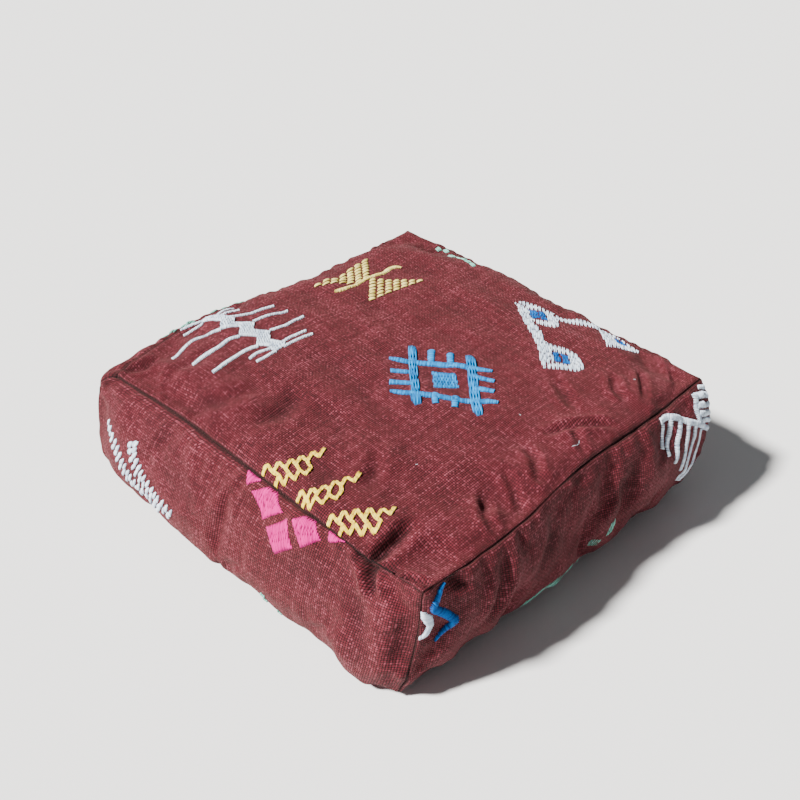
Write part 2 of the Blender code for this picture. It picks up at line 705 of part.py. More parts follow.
def make_many_legs():
    """The white many-legged figure on the top: a spine of diamonds with legs across it."""
    width = 0.0065
    spine = [diamond((x, -0.106), 0.021, 0.013) for x in (-0.268, -0.236, -0.204, -0.176)]
    spine.append(bar((-0.288, -0.108), (-0.158, -0.106), 0.009))
    legs = [
        [(-0.260, -0.222), (-0.272, -0.150), (-0.280, -0.087), (-0.268, -0.025)],
        [(-0.225, -0.220), (-0.237, -0.150), (-0.246, -0.088), (-0.242, -0.024)],
        [(-0.185, -0.216), (-0.200, -0.150), (-0.212, -0.083), (-0.208, -0.022)],
        [(-0.172, -0.156), (-0.177, -0.105), (-0.171, -0.048)],
        [(-0.158, -0.156), (-0.162, -0.105), (-0.157, -0.047)],
        [(-0.290, -0.170), (-0.290, -0.105), (-0.286, -0.050)],
    ]
    shapes = list(spine)
    for leg in legs:
        shapes += path(leg, width)
    motif("white_many_legs", "top", shapes, "thread_white")


def make_butterfly():
    """The cream butterfly on the top: two wings meeting at a long body."""
    wings = [
        polygon((-0.281, 0.060), (-0.224, 0.136), (-0.224, 0.144), (-0.280, 0.181)),
        polygon((-0.228, 0.138), (-0.168, 0.089), (-0.154, 0.199)),
    ]
    body = [bar((-0.231, 0.066), (-0.220, 0.199), 0.010), diamond((-0.231, 0.066), 0.009, 0.009)]
    motif("cream_butterfly", "top", wings + body, "thread_cream")


def make_diamond_band():
    """The white band on the top: a thick spine, two diamonds with blue middles, an arm and a half diamond."""
    squares = [
        polygon((-0.003, 0.272), (0.020, 0.250), (0.043, 0.263), (0.027, 0.280)),
        polygon((0.110, 0.188), (0.130, 0.166), (0.149, 0.183), (0.128, 0.202)),
        polygon((0.126, 0.296), (0.149, 0.276), (0.170, 0.296)),
    ]
    upper_diamond = [
        (-0.025, 0.270), (0.030, 0.238), (0.067, 0.252), (0.066, 0.262), (0.034, 0.294), (-0.022, 0.290),
    ]
    lower_diamond = [
        (0.092, 0.176), (0.130, 0.142), (0.170, 0.174), (0.170, 0.190), (0.128, 0.213), (0.088, 0.197),
    ]
    shapes = [
        bar((-0.018, 0.278), (0.110, 0.161), 0.020),
        polygon(*upper_diamond),
        polygon(*lower_diamond),
        bar((0.030, 0.286), (0.112, 0.291), 0.009),
        polygon((0.100, 0.296), (0.147, 0.260), (0.192, 0.296)),
    ]
    motif("white_diamond_band", "top", shapes, "thread_white", squares)
    for number, square in enumerate(squares, start=1):
        motif(f"blue_band_square_{number}", "top", [square], "thread_deep_blue")


def make_combs():
    """Three yellow combs that stand on the front seam: two leaning strands joined by rungs."""
    width = 0.0055
    for number, foot in enumerate((0.014, 0.078, 0.142), start=1):
        base = -0.294
        left = [(foot, base), (foot + 0.037, base + 0.080)]
        right = [(foot + 0.032, base), (foot + 0.047, base + 0.038)]
        shapes = [bar(*left, width), bar(*right, width)]
        for share in (0.05, 0.30, 0.60, 0.95):
            shapes.append(bar(blend_points(*left, share * 0.5), blend_points(*right, share), width))
        shapes.append(bar(blend_points(*left, 0.72), right[1], width))
        motif(f"yellow_comb_{number}", "top", shapes, "thread_yellow")


def make_pink_blocks():
    """The five pink blocks on the front, stepping down from the top seam."""
    blocks = {
        "pink_block_1": [(0.000, 0.174), (0.027, 0.190), (-0.004, 0.190)],
        "pink_block_2": [(0.011, 0.170), (0.032, 0.139), (0.064, 0.169), (0.056, 0.190), (0.036, 0.188)],
        "pink_block_3": [(0.042, 0.134), (0.063, 0.098), (0.092, 0.132), (0.077, 0.167)],
        "pink_block_4": [(0.088, 0.173), (0.108, 0.140), (0.139, 0.168), (0.130, 0.190), (0.114, 0.190)],
        "pink_block_5": [(0.152, 0.176), (0.182, 0.190), (0.150, 0.190)],
    }
    for name, corners in blocks.items():
        motif(name, "front", [polygon(*from_middle(corners))], "thread_pink")


def make_side_motifs():
    """The smaller motifs on the front, right and left sides."""
    outer_strand = [(-0.286, 0.112), (-0.285, 0.082), (-0.274, 0.054), (-0.254, 0.034), (-0.224, 0.020)]
    inner_strand = [(-0.262, 0.104), (-0.262, 0.078), (-0.250, 0.054), (-0.230, 0.038), (-0.206, 0.022)]
    motif("white_zigzag_outer", "front", path(from_middle(outer_strand), 0.008), "thread_white")
    motif("white_zigzag_inner", "front", path(from_middle(inner_strand), 0.008), "thread_white")

    blue = [(-0.262, 0.178), (-0.282, 0.160), (-0.243, 0.114), (-0.273, 0.094)]
    motif("blue_zigzag", "right", path(from_middle(blue), 0.009), "thread_deep_blue")
    chevron = [(-0.292, 0.153), (-0.276, 0.130), (-0.292, 0.112)]
    motif("white_chevron", "right", path(from_middle(chevron), 0.009), "thread_white")

    fan_top = [(0.186, 0.184), (0.264, 0.126)]
    fan_foot = [(0.190, 0.145), (0.256, 0.036)]
    stripes = [bar(*from_middle(fan_top), 0.006)]
    for number in range(6):
        ends = [blend_points(*fan_top, number / 5), blend_points(*fan_foot, number / 5)]
        stripes.append(bar(*from_middle(ends), 0.0065))
    fan_spine = [(0.250, 0.182), (0.264, 0.126)]
    stripes.append(bar(*from_middle(fan_spine), 0.0065))
    for number in range(5):
        foot = blend_points(*fan_spine, number / 4)
        tip = (0.291, foot[1] - 0.006)
        stripes.append(bar(*from_middle([foot, tip]), 0.0065))
    motif("white_striped_fans", "right", stripes, "thread_white")

    mints = {
        "mint_steps_right": ("right", [(0.110, 0.060), (0.095, 0.044), (0.083, 0.028), (0.070, 0.018)]),
        "mint_steps_low": ("right", [(0.030, 0.022), (-0.005, 0.030), (-0.035, 0.018)]),
        "mint_leaf_front": ("front", [(0.005, 0.018), (0.028, 0.024)]),
        "mint_leaf_left": ("left", [(0.050, 0.188), (0.095, 0.186)]),
        "mint_leaf_corner": ("left", [(0.165, 0.186), (0.220, 0.187)]),
    }
    for name, (side, points) in mints.items():
        motif(name, side, path(from_middle(points), 0.009), "thread_mint")
    leaf = [(-0.235, 0.288), (-0.196, 0.290), (-0.150, 0.288)]
    motif("mint_leaf_back", "top", path(leaf, 0.008), "thread_mint")


def build():
    """Make the whole cushion."""
    clear_scene()
    make_cover()
    make_bag_and_filling()
    make_zip()
    make_fence()
    make_many_legs()
    make_butterfly()
    make_diamond_band()
    make_combs()
    make_pink_blocks()
    make_side_motifs()


build()
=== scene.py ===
# %% [markdown]
# # A woven floor cushion with hand-worked motifs
# The real cushion is a box of coarse woven cloth, sewn from seven panels and filled with loose
# fibre until its sides swell. Threads in other colours are worked over the cloth as motifs, and a
# zip closes the back. The engineering model holds the sizes and the moving zip. This script
# builds what is seen around it, always in metres and in that model's own frame.

# %% Load the fixed frame
import json
import math

import bpy
import numpy as np

from mathutils import Matrix, Vector


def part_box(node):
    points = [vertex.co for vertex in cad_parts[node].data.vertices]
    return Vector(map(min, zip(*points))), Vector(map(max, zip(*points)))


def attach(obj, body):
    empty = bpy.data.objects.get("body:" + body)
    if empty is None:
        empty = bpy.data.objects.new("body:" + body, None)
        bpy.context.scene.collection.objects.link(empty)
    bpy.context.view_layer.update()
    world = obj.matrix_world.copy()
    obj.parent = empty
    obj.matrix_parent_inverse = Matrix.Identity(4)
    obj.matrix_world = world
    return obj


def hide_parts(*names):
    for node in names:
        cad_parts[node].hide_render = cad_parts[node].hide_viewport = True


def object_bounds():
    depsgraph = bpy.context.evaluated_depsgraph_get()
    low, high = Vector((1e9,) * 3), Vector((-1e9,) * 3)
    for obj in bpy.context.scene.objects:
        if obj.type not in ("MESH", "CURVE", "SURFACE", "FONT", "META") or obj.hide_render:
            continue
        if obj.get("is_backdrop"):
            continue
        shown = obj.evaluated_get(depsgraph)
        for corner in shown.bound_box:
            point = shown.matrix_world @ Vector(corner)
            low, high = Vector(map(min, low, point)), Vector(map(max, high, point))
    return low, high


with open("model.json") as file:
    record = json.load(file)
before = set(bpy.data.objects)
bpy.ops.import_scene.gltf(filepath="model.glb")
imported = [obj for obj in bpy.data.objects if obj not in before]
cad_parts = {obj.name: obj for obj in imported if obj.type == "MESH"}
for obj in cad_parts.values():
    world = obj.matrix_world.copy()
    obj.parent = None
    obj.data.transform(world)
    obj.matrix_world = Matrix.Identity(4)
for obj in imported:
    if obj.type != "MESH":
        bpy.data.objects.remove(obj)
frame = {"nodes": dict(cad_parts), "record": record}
bpy.context.view_layer.update()

# %% [markdown]
# ## Sizes that come from the frame
# The seams of the engineering model run round a square at two heights. Reading those from the
# boxes of its panels keeps every piece of cloth where the model says, with no fitting.

# %% Read the seam square, the seam heights and the zip
top_low, top_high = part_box("top_panel")
side_low, side_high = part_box("front_panel")
slot_low, slot_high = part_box("zip_coil_lower")[0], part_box("zip_coil_upper")[1]
HALF = round(top_high.x, 3)  # half of the seam square
TOP_SEAM = round(side_high.z, 3)  # height of the top seam
FOOT_SEAM = round(side_low.z, 3)  # height of the bottom seam
ZIP_HEIGHT = (slot_low.z + slot_high.z) / 2
ZIP_FACE = round(slot_high.y, 4) + 0.0002  # the cloth beside the zip lies just proud of the coil
ZIP_REACH = round(slot_high.x, 3)
print("seam square", 2 * HALF, "top seam", TOP_SEAM, "bottom seam", FOOT_SEAM)
print("zip at", round(ZIP_HEIGHT, 4), "face", ZIP_FACE, "reach", ZIP_REACH)

# %% [markdown]
# ## Curves through a few chosen points
# A filled cushion is never a true box: each seam bows a little, and differently. A cubic curve
# through a handful of values gives such a line, and it needs only the values that shape it.

# %% A flowing line through a few values
def flowing(at, knots, values):
    """Cubic Hermite curve through values at knots. The slope at a knot is that of its neighbours."""
    knots = np.asarray(knots, float)
    values = np.asarray(values, float)
    slopes = np.gradient(values, knots)
    at = np.asarray(at, float)
    k = np.clip(np.searchsorted(knots, at, side="right") - 1, 0, len(knots) - 2)
    width = knots[k + 1] - knots[k]
    t = np.clip((at - knots[k]) / width, 0, 1)
    start = (2 * t**3 - 3 * t**2 + 1) * values[k] + (t**3 - 2 * t**2 + t) * width * slopes[k]
    end = (3 * t**2 - 2 * t**3) * values[k + 1] + (t**3 - t**2) * width * slopes[k + 1]
    return start + end


def swell(share, flat):
    """1 while the share from the middle is below flat, then a quarter-ellipse-like fall to 0 at 1."""
    return 1 - np.clip((np.abs(share) - flat) / (1 - flat), 0, 1) ** 2


def smooth(t):
    """The smooth step: 0 at 0 and below, 1 at 1 and above, level at both ends."""
    t = np.clip(t, 0, 1)
    return t * t * (3 - 2 * t)


# %% [markdown]
# ## The seams
# Twelve seams hold the seven panels together: four round the top, four round the foot and one up
# each corner. Each is a straight line between two corners plus a bow, out and up. Every panel is
# later stretched between these lines, so that neighbours always meet on the same points.

# %% Corners and seam lines
CELLS = 60  # cells along a panel's long side in the form that is simulated
RISE_CELLS = 20  # cells up a side

CORNERS = ("left_front", "right_front", "right_back", "left_back")
top_corner = {
    "left_front": np.array([-HALF + 0.004, -HALF - 0.006, TOP_SEAM + 0.001]),
    "right_front": np.array([HALF + 0.004, -HALF + 0.002, TOP_SEAM + 0.000]),
    "right_back": np.array([HALF - 0.006, HALF + 0.020, TOP_SEAM + 0.008]),
    "left_back": np.array([-HALF - 0.008, HALF + 0.016, TOP_SEAM + 0.008]),
}
foot_corner = {
    "left_front": np.array([-HALF + 0.000, -HALF - 0.010, FOOT_SEAM + 0.004]),
    "right_front": np.array([HALF - 0.010, -HALF - 0.012, FOOT_SEAM - 0.004]),
    "right_back": np.array([HALF + 0.010, HALF + 0.006, FOOT_SEAM + 0.006]),
    "left_back": np.array([-HALF + 0.004, HALF - 0.004, FOOT_SEAM + 0.006]),
}
# how far each seam bows: shares along it, metres outwards, metres up
TOP_BOW = {
    "front": (
        [0, 0.2, 0.5, 0.72, 0.86, 1],
        [0, -0.005, 0.000, 0.002, 0.000, 0],
        [0, 0.002, 0, -0.001, -0.006, 0],
    ),
    "right": (
        [0, 0.15, 0.3, 0.5, 0.75, 1],
        [0, 0.003, 0.004, -0.002, 0.003, 0],
        [0, -0.006, -0.006, 0, 0.002, 0],
    ),
    "back": ([0, 0.25, 0.5, 0.75, 1], [0, 0.001, 0.003, 0.004, 0], [0, 0.000, 0.001, 0.001, 0]),
    "left": (
        [0, 0.25, 0.42, 0.58, 0.68, 0.85, 1],
        [0, -0.002, 0.004, 0.019, 0.028, 0.020, 0],
        [0, 0, 0, 0.003, 0.004, 0.002, 0],
    ),
}
# how far each corner seam bows at a few shares of its height, along X and along Y
UPRIGHT_BOW = {
    "left_front": (
        [0, 0.18, 0.5, 0.8, 0.94, 1],
        [0, -0.022, -0.029, -0.025, -0.015, 0],
        [0, -0.016, -0.020, -0.017, -0.010, 0],
    ),
    "right_front": ([0, 0.2, 0.5, 0.8, 1], [0, 0.010, 0.008, 0.003, 0], [0, -0.004, 0.002, 0.003, 0]),
    "right_back": ([0, 0.2, 0.5, 0.8, 1], [0, 0.012, 0.020, 0.016, 0], [0, 0.010, 0.014, 0.008, 0]),
    "left_back": ([0, 0.2, 0.5, 0.8, 1], [0, -0.014, -0.022, -0.014, 0], [0, 0.012, 0.018, 0.010, 0]),
}

# %% Which way each side faces, and how far its foot seam bows out
SIDES = ("front", "right", "back", "left")
OUTWARD = {
    "front": np.array([0.0, -1.0, 0.0]),
    "right": np.array([1.0, 0.0, 0.0]),
    "back": np.array([0.0, 1.0, 0.0]),
    "left": np.array([-1.0, 0.0, 0.0]),
}
UP = np.array([0.0, 0.0, 1.0])
FOOT_BOW = {
    "front": ([0, 0.12, 0.3, 0.6, 0.8, 0.92, 1], [0, 0.010, 0.012, 0.008, 0.010, 0.017, 0]),
    "right": ([0, 0.5, 1], [0, 0.002, 0]),
    "back": ([0, 0.5, 1], [0, 0.004, 0]),
    "left": ([0, 0.5, 1], [0, 0.004, 0]),
}

# %% Lay the twelve seams
def seam_run(start, end, side, shares, out, up):
    """Straight run from start to end, plus the bow: out times the side's outward line, up times Z."""
    s = np.linspace(0, 1, CELLS + 1)
    line = start + (end - start) * s[:, None]
    line = line + flowing(s, shares, out)[:, None] * OUTWARD[side]
    return line + flowing(s, shares, up)[:, None] * UP


top_run, foot_run, upright = {}, {}, {}
for place, side in enumerate(SIDES):
    here, there = CORNERS[place], CORNERS[(place + 1) % 4]
    top_run[side] = seam_run(top_corner[here], top_corner[there], side, *TOP_BOW[side])
    shares, out = FOOT_BOW[side]
    level = np.zeros(len(shares))
    foot_run[side] = seam_run(foot_corner[here], foot_corner[there], side, shares, out, level)
for corner, (shares, along_x, along_y) in UPRIGHT_BOW.items():
    t = np.linspace(0, 1, RISE_CELLS + 1)
    line = foot_corner[corner] + (top_corner[corner] - foot_corner[corner]) * t[:, None]
    line[:, 0] += flowing(t, shares, along_x)
    line[:, 1] += flowing(t, shares, along_y)
    line[[0, -1]] = foot_corner[corner], top_corner[corner]
    upright[corner] = line
print("seams:", len(top_run) + len(foot_run) + len(upright))

# %% [markdown]
# ## Panels between the seams
# A Coons patch fills four joined edge lines with the smoothest sheet that ends on all four. The
# filling then pushes it outwards: most below mid-height on the sides, because loose fibre sinks,
# and in a low crown on the top. The foot is flat where it rests on the floor.

# %% Stretch a sheet between four edges
def stretched(low, high, first, last):
    """Coons patch: the blend low to high, plus the blend first to last, less the corners' own blend."""
    s = np.linspace(0, 1, len(low))[:, None, None]
    t = np.linspace(0, 1, len(first))[None, :, None]
    across = low[:, None] * (1 - t) + high[:, None] * t
    upward = first[None] * (1 - s) + last[None] * s
    corners = (low[0] * (1 - s) + low[-1] * s) * (1 - t) + (high[0] * (1 - s) + high[-1] * s) * t
    sheet = across + upward - corners
    sheet[:, 0], sheet[:, -1], sheet[0], sheet[-1] = low, high, first, last
    return sheet


# %% Push the four sides out: shares along each side, and metres
SIDE_PUSH = {
    "front": ([0, 0.12, 0.3, 0.55, 0.75, 0.92, 1], [0, 0.009, 0.017, 0.020, 0.018, 0.012, 0]),
    "right": ([0, 0.12, 0.3, 0.6, 0.85, 1], [0, 0.010, 0.006, 0.005, 0.008, 0]),
    "back": ([0, 0.12, 0.5, 0.88, 1], [0, 0.016, 0.022, 0.016, 0]),
    "left": (
        [0, 0.12, 0.3, 0.45, 0.6, 0.72, 0.88, 1],
        [0, 0.012, 0.016, 0.006, 0.000, -0.002, 0.000, 0],
    ),
}
PUSH_PLACE = {"front": 0.66, "right": 1.25, "back": 0.9, "left": 1.5}  # below 1: fullest low down
form = {}
s_grid = np.linspace(0, 1, CELLS + 1)[:, None]
t_grid = np.linspace(0, 1, RISE_CELLS + 1)[None, :]
for place, side in enumerate(SIDES):
    here, there = CORNERS[place], CORNERS[(place + 1) % 4]
    sheet = stretched(foot_run[side], top_run[side], upright[here], upright[there])
    push = flowing(s_grid, *SIDE_PUSH[side]) * np.sin(math.pi * t_grid ** PUSH_PLACE[side])
    form[side] = sheet + push[..., None] * OUTWARD[side]
    print(side, "pushed out by up to", round(float(push.max()) * 1000, 1), "mm")

# %% Keep the back flat beside the zip
ZIP_FLAT = 0.017  # the cloth lies flat this far above and below the zip
ZIP_BLEND = 0.030  # and then swells to full over this much
BEHIND_FROM = 0.28  # only the back has points with y above this, near the zip's height


def beside_zip(points):
    """1 where the back lies flat beside the zip, falling to 0 above, below and past its ends."""
    above = np.abs(points[..., 2] - ZIP_HEIGHT) - ZIP_FLAT
    past = np.abs(points[..., 0]) - ZIP_REACH - ZIP_FLAT
    behind = smooth((points[..., 1] - BEHIND_FROM) / 0.01)
    return (1 - smooth(above / ZIP_BLEND)) * (1 - smooth(past / ZIP_BLEND)) * behind


hold = beside_zip(form["back"])
form["back"][..., 1] += hold * (ZIP_FACE - form["back"][..., 1])
print("points held flat beside the zip:", int((hold > 0.5).sum()))

# %% The top's low crown and the flat foot
CROWN = top_high.z - TOP_SEAM - 0.012  # the simulation lifts it the rest of the way
s_top = 2 * s_grid - 1
t_top = 2 * np.linspace(0, 1, CELLS + 1)[None, :] - 1
sheet = stretched(top_run["front"], top_run["back"][::-1], top_run["left"][::-1], top_run["right"])
crown = 0.5 * swell(s_top, 0.35) * swell(t_top, 0.35) + 0.5 * swell(s_top, 0.8) * swell(t_top, 0.8)
form["top"] = sheet + (CROWN * crown)[..., None] * UP
sheet = stretched(foot_run["back"][::-1], foot_run["front"], foot_run["left"], foot_run["right"][::-1])
sheet[..., 2] *= 1 - swell(s_top, 0.78) * swell(t_top, 0.78)
form["bottom"] = sheet
print({name: grid.shape[:2] for name, grid in form.items()})

# %% [markdown]
# ## Let the cloth settle over the filling
# A formula gives a balloon. Cloth that is cut a little large and pushed from inside puckers along
# its seams, because the sewn line keeps its length while the cloth beside it has some to spare.
# Blender's Cloth shows just that: the seven panels are welded along their seams, the panels may
# grow by a few hundredths, the seams may not, and a light pressure holds them up. The foot and the
# cloth beside the zip are pinned, and no point may end further than a set reach from its place.

# %% The panels' order, the faces of a grid, and a mesh from arrays
PANELS = ("top", "bottom", "front", "right", "back", "left")


def grid_faces(rows, columns, start=0):
    """Four-sided faces of a grid stored row by row, facing where rows x columns points."""
    corner = start + np.arange(rows * columns).reshape(rows, columns)
    sides = (corner[:-1, :-1], corner[1:, :-1], corner[1:, 1:], corner[:-1, 1:])
    return np.stack(sides, -1).reshape(-1, 4)


def mesh_of(name, points, faces):
    """A mesh object from an array of points and an array of faces, shaded smooth."""
    mesh = bpy.data.meshes.new(name)
    mesh.from_pydata(np.asarray(points, float).reshape(-1, 3), [], np.asarray(faces))
    mesh.update()
    mesh.shade_smooth()
    made = bpy.data.objects.new(name, mesh)
    bpy.context.scene.collection.objects.link(made)
    return made


# %% Weld the panels where their edge points meet
loose = np.concatenate([form[name].reshape(-1, 3) for name in PANELS])
starts = np.cumsum([0] + [form[name].shape[0] * form[name].shape[1] for name in PANELS])
faces = [grid_faces(*form[name].shape[:2], start) for name, start in zip(PANELS, starts)]
faces = np.concatenate(faces)
welded, home = np.unique(np.round(loose, 7), axis=0, return_inverse=True)
home = home.ravel()
welded_faces = home[faces]
from_seam = np.zeros(len(welded))  # distance to the nearest seam, measured on the pattern
for name, start in zip(PANELS, starts):
    rows, columns = form[name].shape[:2]
    row, column = np.arange(rows)[:, None], np.arange(columns)[None, :]
    cells = np.minimum(np.minimum(row, rows - 1 - row), np.minimum(column, columns - 1 - column))
    from_seam[home[start : start + rows * columns]] = cells.ravel() * 2 * HALF / CELLS
on_seam = from_seam == 0
print("welded form:", len(welded), "points,", len(welded_faces), "faces,", on_seam.sum(), "on seams")

# %% Run the cloth and keep its movement within reach
REACH = 0.009  # furthest that a point may settle from where it started; a quarter of it on a seam
SEAM_HOLD = 0.6  # how firmly the seams, four layers thick, keep their place
SETTLING_FRAMES = 22


def settled(points, faces, seam, pinned):
    """The points after Cloth with pressure, moved no further than REACH and not below the floor."""
    cloth_form = mesh_of("cloth_form", points, faces)
    pins = cloth_form.vertex_groups.new(name="pins")
    seams = cloth_form.vertex_groups.new(name="seams")
    pins.add(np.flatnonzero(seam).tolist(), SEAM_HOLD, "REPLACE")
    pins.add(np.flatnonzero(pinned).tolist(), 1.0, "REPLACE")
    seams.add(np.flatnonzero(seam).tolist(), 1.0, "REPLACE")
    cloth = cloth_form.modifiers.new("Cloth", "CLOTH")
    cloth.settings.quality = 6
    cloth.settings.mass = 0.4
    cloth.settings.tension_stiffness = 30
    cloth.settings.compression_stiffness = 30
    cloth.settings.shear_stiffness = 12
    cloth.settings.bending_stiffness = 1.2
    cloth.settings.air_damping = 4
    cloth.settings.use_pressure = True
    cloth.settings.uniform_pressure_force = 1.0
    cloth.settings.vertex_group_mass = "pins"
    cloth.settings.vertex_group_shrink = "seams"
    cloth.settings.shrink_min = -0.035
    cloth.settings.shrink_max = 0.0
    cloth.settings.effector_weights.gravity = 0
    cloth.collision_settings.use_collision = False
    cloth.point_cache.frame_end = SETTLING_FRAMES
    scene = bpy.context.scene
    for step in range(1, SETTLING_FRAMES + 1):
        scene.frame_set(step)
    result = cloth_form.evaluated_get(bpy.context.evaluated_depsgraph_get())
    after = np.empty(len(points) * 3, np.float32)
    result.data.vertices.foreach_get("co", after)
    scene.frame_set(1)
    bpy.data.objects.remove(cloth_form)
    move = after.reshape(-1, 3).astype(float) - points
    far = np.linalg.norm(move, axis=1, keepdims=True)
    print("cloth moved by", (far.mean() * 1000).round(1), "mm, at most", (far.max() * 1000).round(1))
    reach = REACH * (1 - 0.75 * np.exp(-((from_seam / 0.022) ** 2)))[:, None]
    moved = points + move * (reach * np.tanh(far / reach) / np.maximum(far, 1e-9))
    moved[:, 2] = np.maximum(moved[:, 2], 0)
    return moved


# %% Settle the welded form and hand its points back to the panels
pinned = (welded[:, 2] < 1e-4) | (beside_zip(welded) > 0.02)
welded = settled(welded, welded_faces, on_seam, pinned)
for name, start in zip(PANELS, starts):
    rows, columns = form[name].shape[:2]
    form[name] = welded[home[start : start + rows * columns]].reshape(rows, columns, 3)

# %% [markdown]
# ## From the settled form to fine panels
# Each panel is still a regular grid, so a point on it has two plain coordinates: how far along and
# how far up its flat pattern it lies, in metres. Everything sewn onto a panel is placed by those.
# The grid is refined with a cubic between its lines, closer together near the seams, and then
# pushed in along its normal for the seams' grooves, folds and tucks.

# %% Refine a grid with cubics
FINE_STEP = 0.0030  # metres between the fine lines away from the seams
NEAR_SEAM = np.array([0, 0.0007, 0.0015, 0.0025, 0.0037, 0.0052, 0.0072])


def pattern_lines(length):
    """Places along a panel, in metres: close together at both seams and FINE_STEP apart between."""
    inner = length - 2 * (NEAR_SEAM[-1] + FINE_STEP / 2)
    middle = NEAR_SEAM[-1] + FINE_STEP / 2 + np.linspace(0, inner, int(inner / FINE_STEP) + 1)
    return np.concatenate([NEAR_SEAM, middle, (length - NEAR_SEAM)[::-1]])


def finer(grid, at):
    """Catmull-Rom cubic through the grid's first axis, read at places counted in cells."""
    last = len(grid) - 1
    padded = np.concatenate([2 * grid[:1] - grid[1:2], grid, 2 * grid[-1:] - grid[-2:-1]])
    k = np.clip(np.floor(at).astype(int), 0, last - 1)
    t = (at - k).reshape((-1,) + (1,) * (grid.ndim - 1))
    a, b, c, d = padded[k], padded[k + 1], padded[k + 2], padded[k + 3]
    return b + 0.5 * t * (c - a + t * (2 * a - 5 * b + 4 * c - d + t * (3 * (b - c) + d - a)))


# %% The settled form's normals, and the fine panels
def point_normals(points, faces):
    """Unit normals at the points: the sum of the cross products of each face's diagonals."""
    corner = points[faces]
    face_normal = np.cross(corner[:, 2] - corner[:, 0], corner[:, 3] - corner[:, 1])
    total = np.zeros_like(points)
    for side in range(4):
        np.add.at(total, faces[:, side], face_normal)
    return total / np.linalg.norm(total, axis=1, keepdims=True)


WIDTH = 2 * HALF
RISE = TOP_SEAM - FOOT_SEAM
pattern = {name: (WIDTH, WIDTH if name in ("top", "bottom") else RISE) for name in PANELS}
outward = point_normals(welded, welded_faces)
lines, fine, pushed = {}, {}, {}
for name, start in zip(PANELS, starts):
    rows, columns = form[name].shape[:2]
    lines[name] = [pattern_lines(length) for length in pattern[name]]
    along = lines[name][0] / pattern[name][0] * (rows - 1)
    upward = lines[name][1] / pattern[name][1] * (columns - 1)
    normals = outward[home[start : start + rows * columns]].reshape(rows, columns, 3)
    fine[name] = finer(finer(form[name], along).swapaxes(0, 1), upward).swapaxes(0, 1)
    way = finer(finer(normals, along).swapaxes(0, 1), upward).swapaxes(0, 1)
    pushed[name] = way / np.linalg.norm(way, axis=-1, keepdims=True)
print("fine panels:", {name: grid.shape[:2] for name, grid in fine.items()})

# %% [markdown]
# ## Grooves, folds and tucks
# A seam shows as a narrow groove, because the allowance behind it pulls both panels inwards. The
# corner nearest the viewer has slumped, so its cloth has folded into a deep tuck with creases
# running from it. Each fold is a line on a panel's pattern with a width and a depth: the cloth
# sinks by a bell curve of the distance to the line, and rises a little on both sides of it.

# %% Distance to a line drawn on the pattern
def centred(name):
    """A panel's two pattern coordinates at its fine points: along from the middle, and up."""
    first = lines[name][0] - HALF
    second = lines[name][1] + (-HALF if name in ("top", "bottom") else FOOT_SEAM)
    return np.meshgrid(first, second, indexing="ij")


def along_line(across, up, path):
    """Distance to a path of straight runs, and the share of the path at the nearest place on it."""
    path = np.asarray(path, float)
    runs = np.diff(path, axis=0)
    lengths = np.linalg.norm(runs, axis=1)
    before = np.concatenate([[0], np.cumsum(lengths)])
    nearest = np.full(across.shape, 9.0)
    share = np.zeros(across.shape)
    for k, run in enumerate(runs):
        x, y = across - path[k, 0], up - path[k, 1]
        t = np.clip((x * run[0] + y * run[1]) / lengths[k] ** 2, 0, 1)
        away = np.hypot(x - t * run[0], y - t * run[1])
        closer = away < nearest
        nearest = np.where(closer, away, nearest)
        share = np.where(closer, (before[k] + t * lengths[k]) / before[-1], share)
    return nearest, share


# %% A fold, as a function of that distance
def fold(across, up, path, width, depth, ridge=0.35, fade=0.3):
    """Movement along the normal: in by depth on the line, out beside it, fading at its ends."""
    away, share = along_line(across, up, path)
    ends = smooth(share / fade) * smooth((1 - share) / fade) if fade else 1.0
    sunk = -depth * np.exp(-((away / width) ** 2))
    raised = ridge * depth * np.exp(-(((away - 2 * width) / width) ** 2))
    return (sunk + raised) * ends


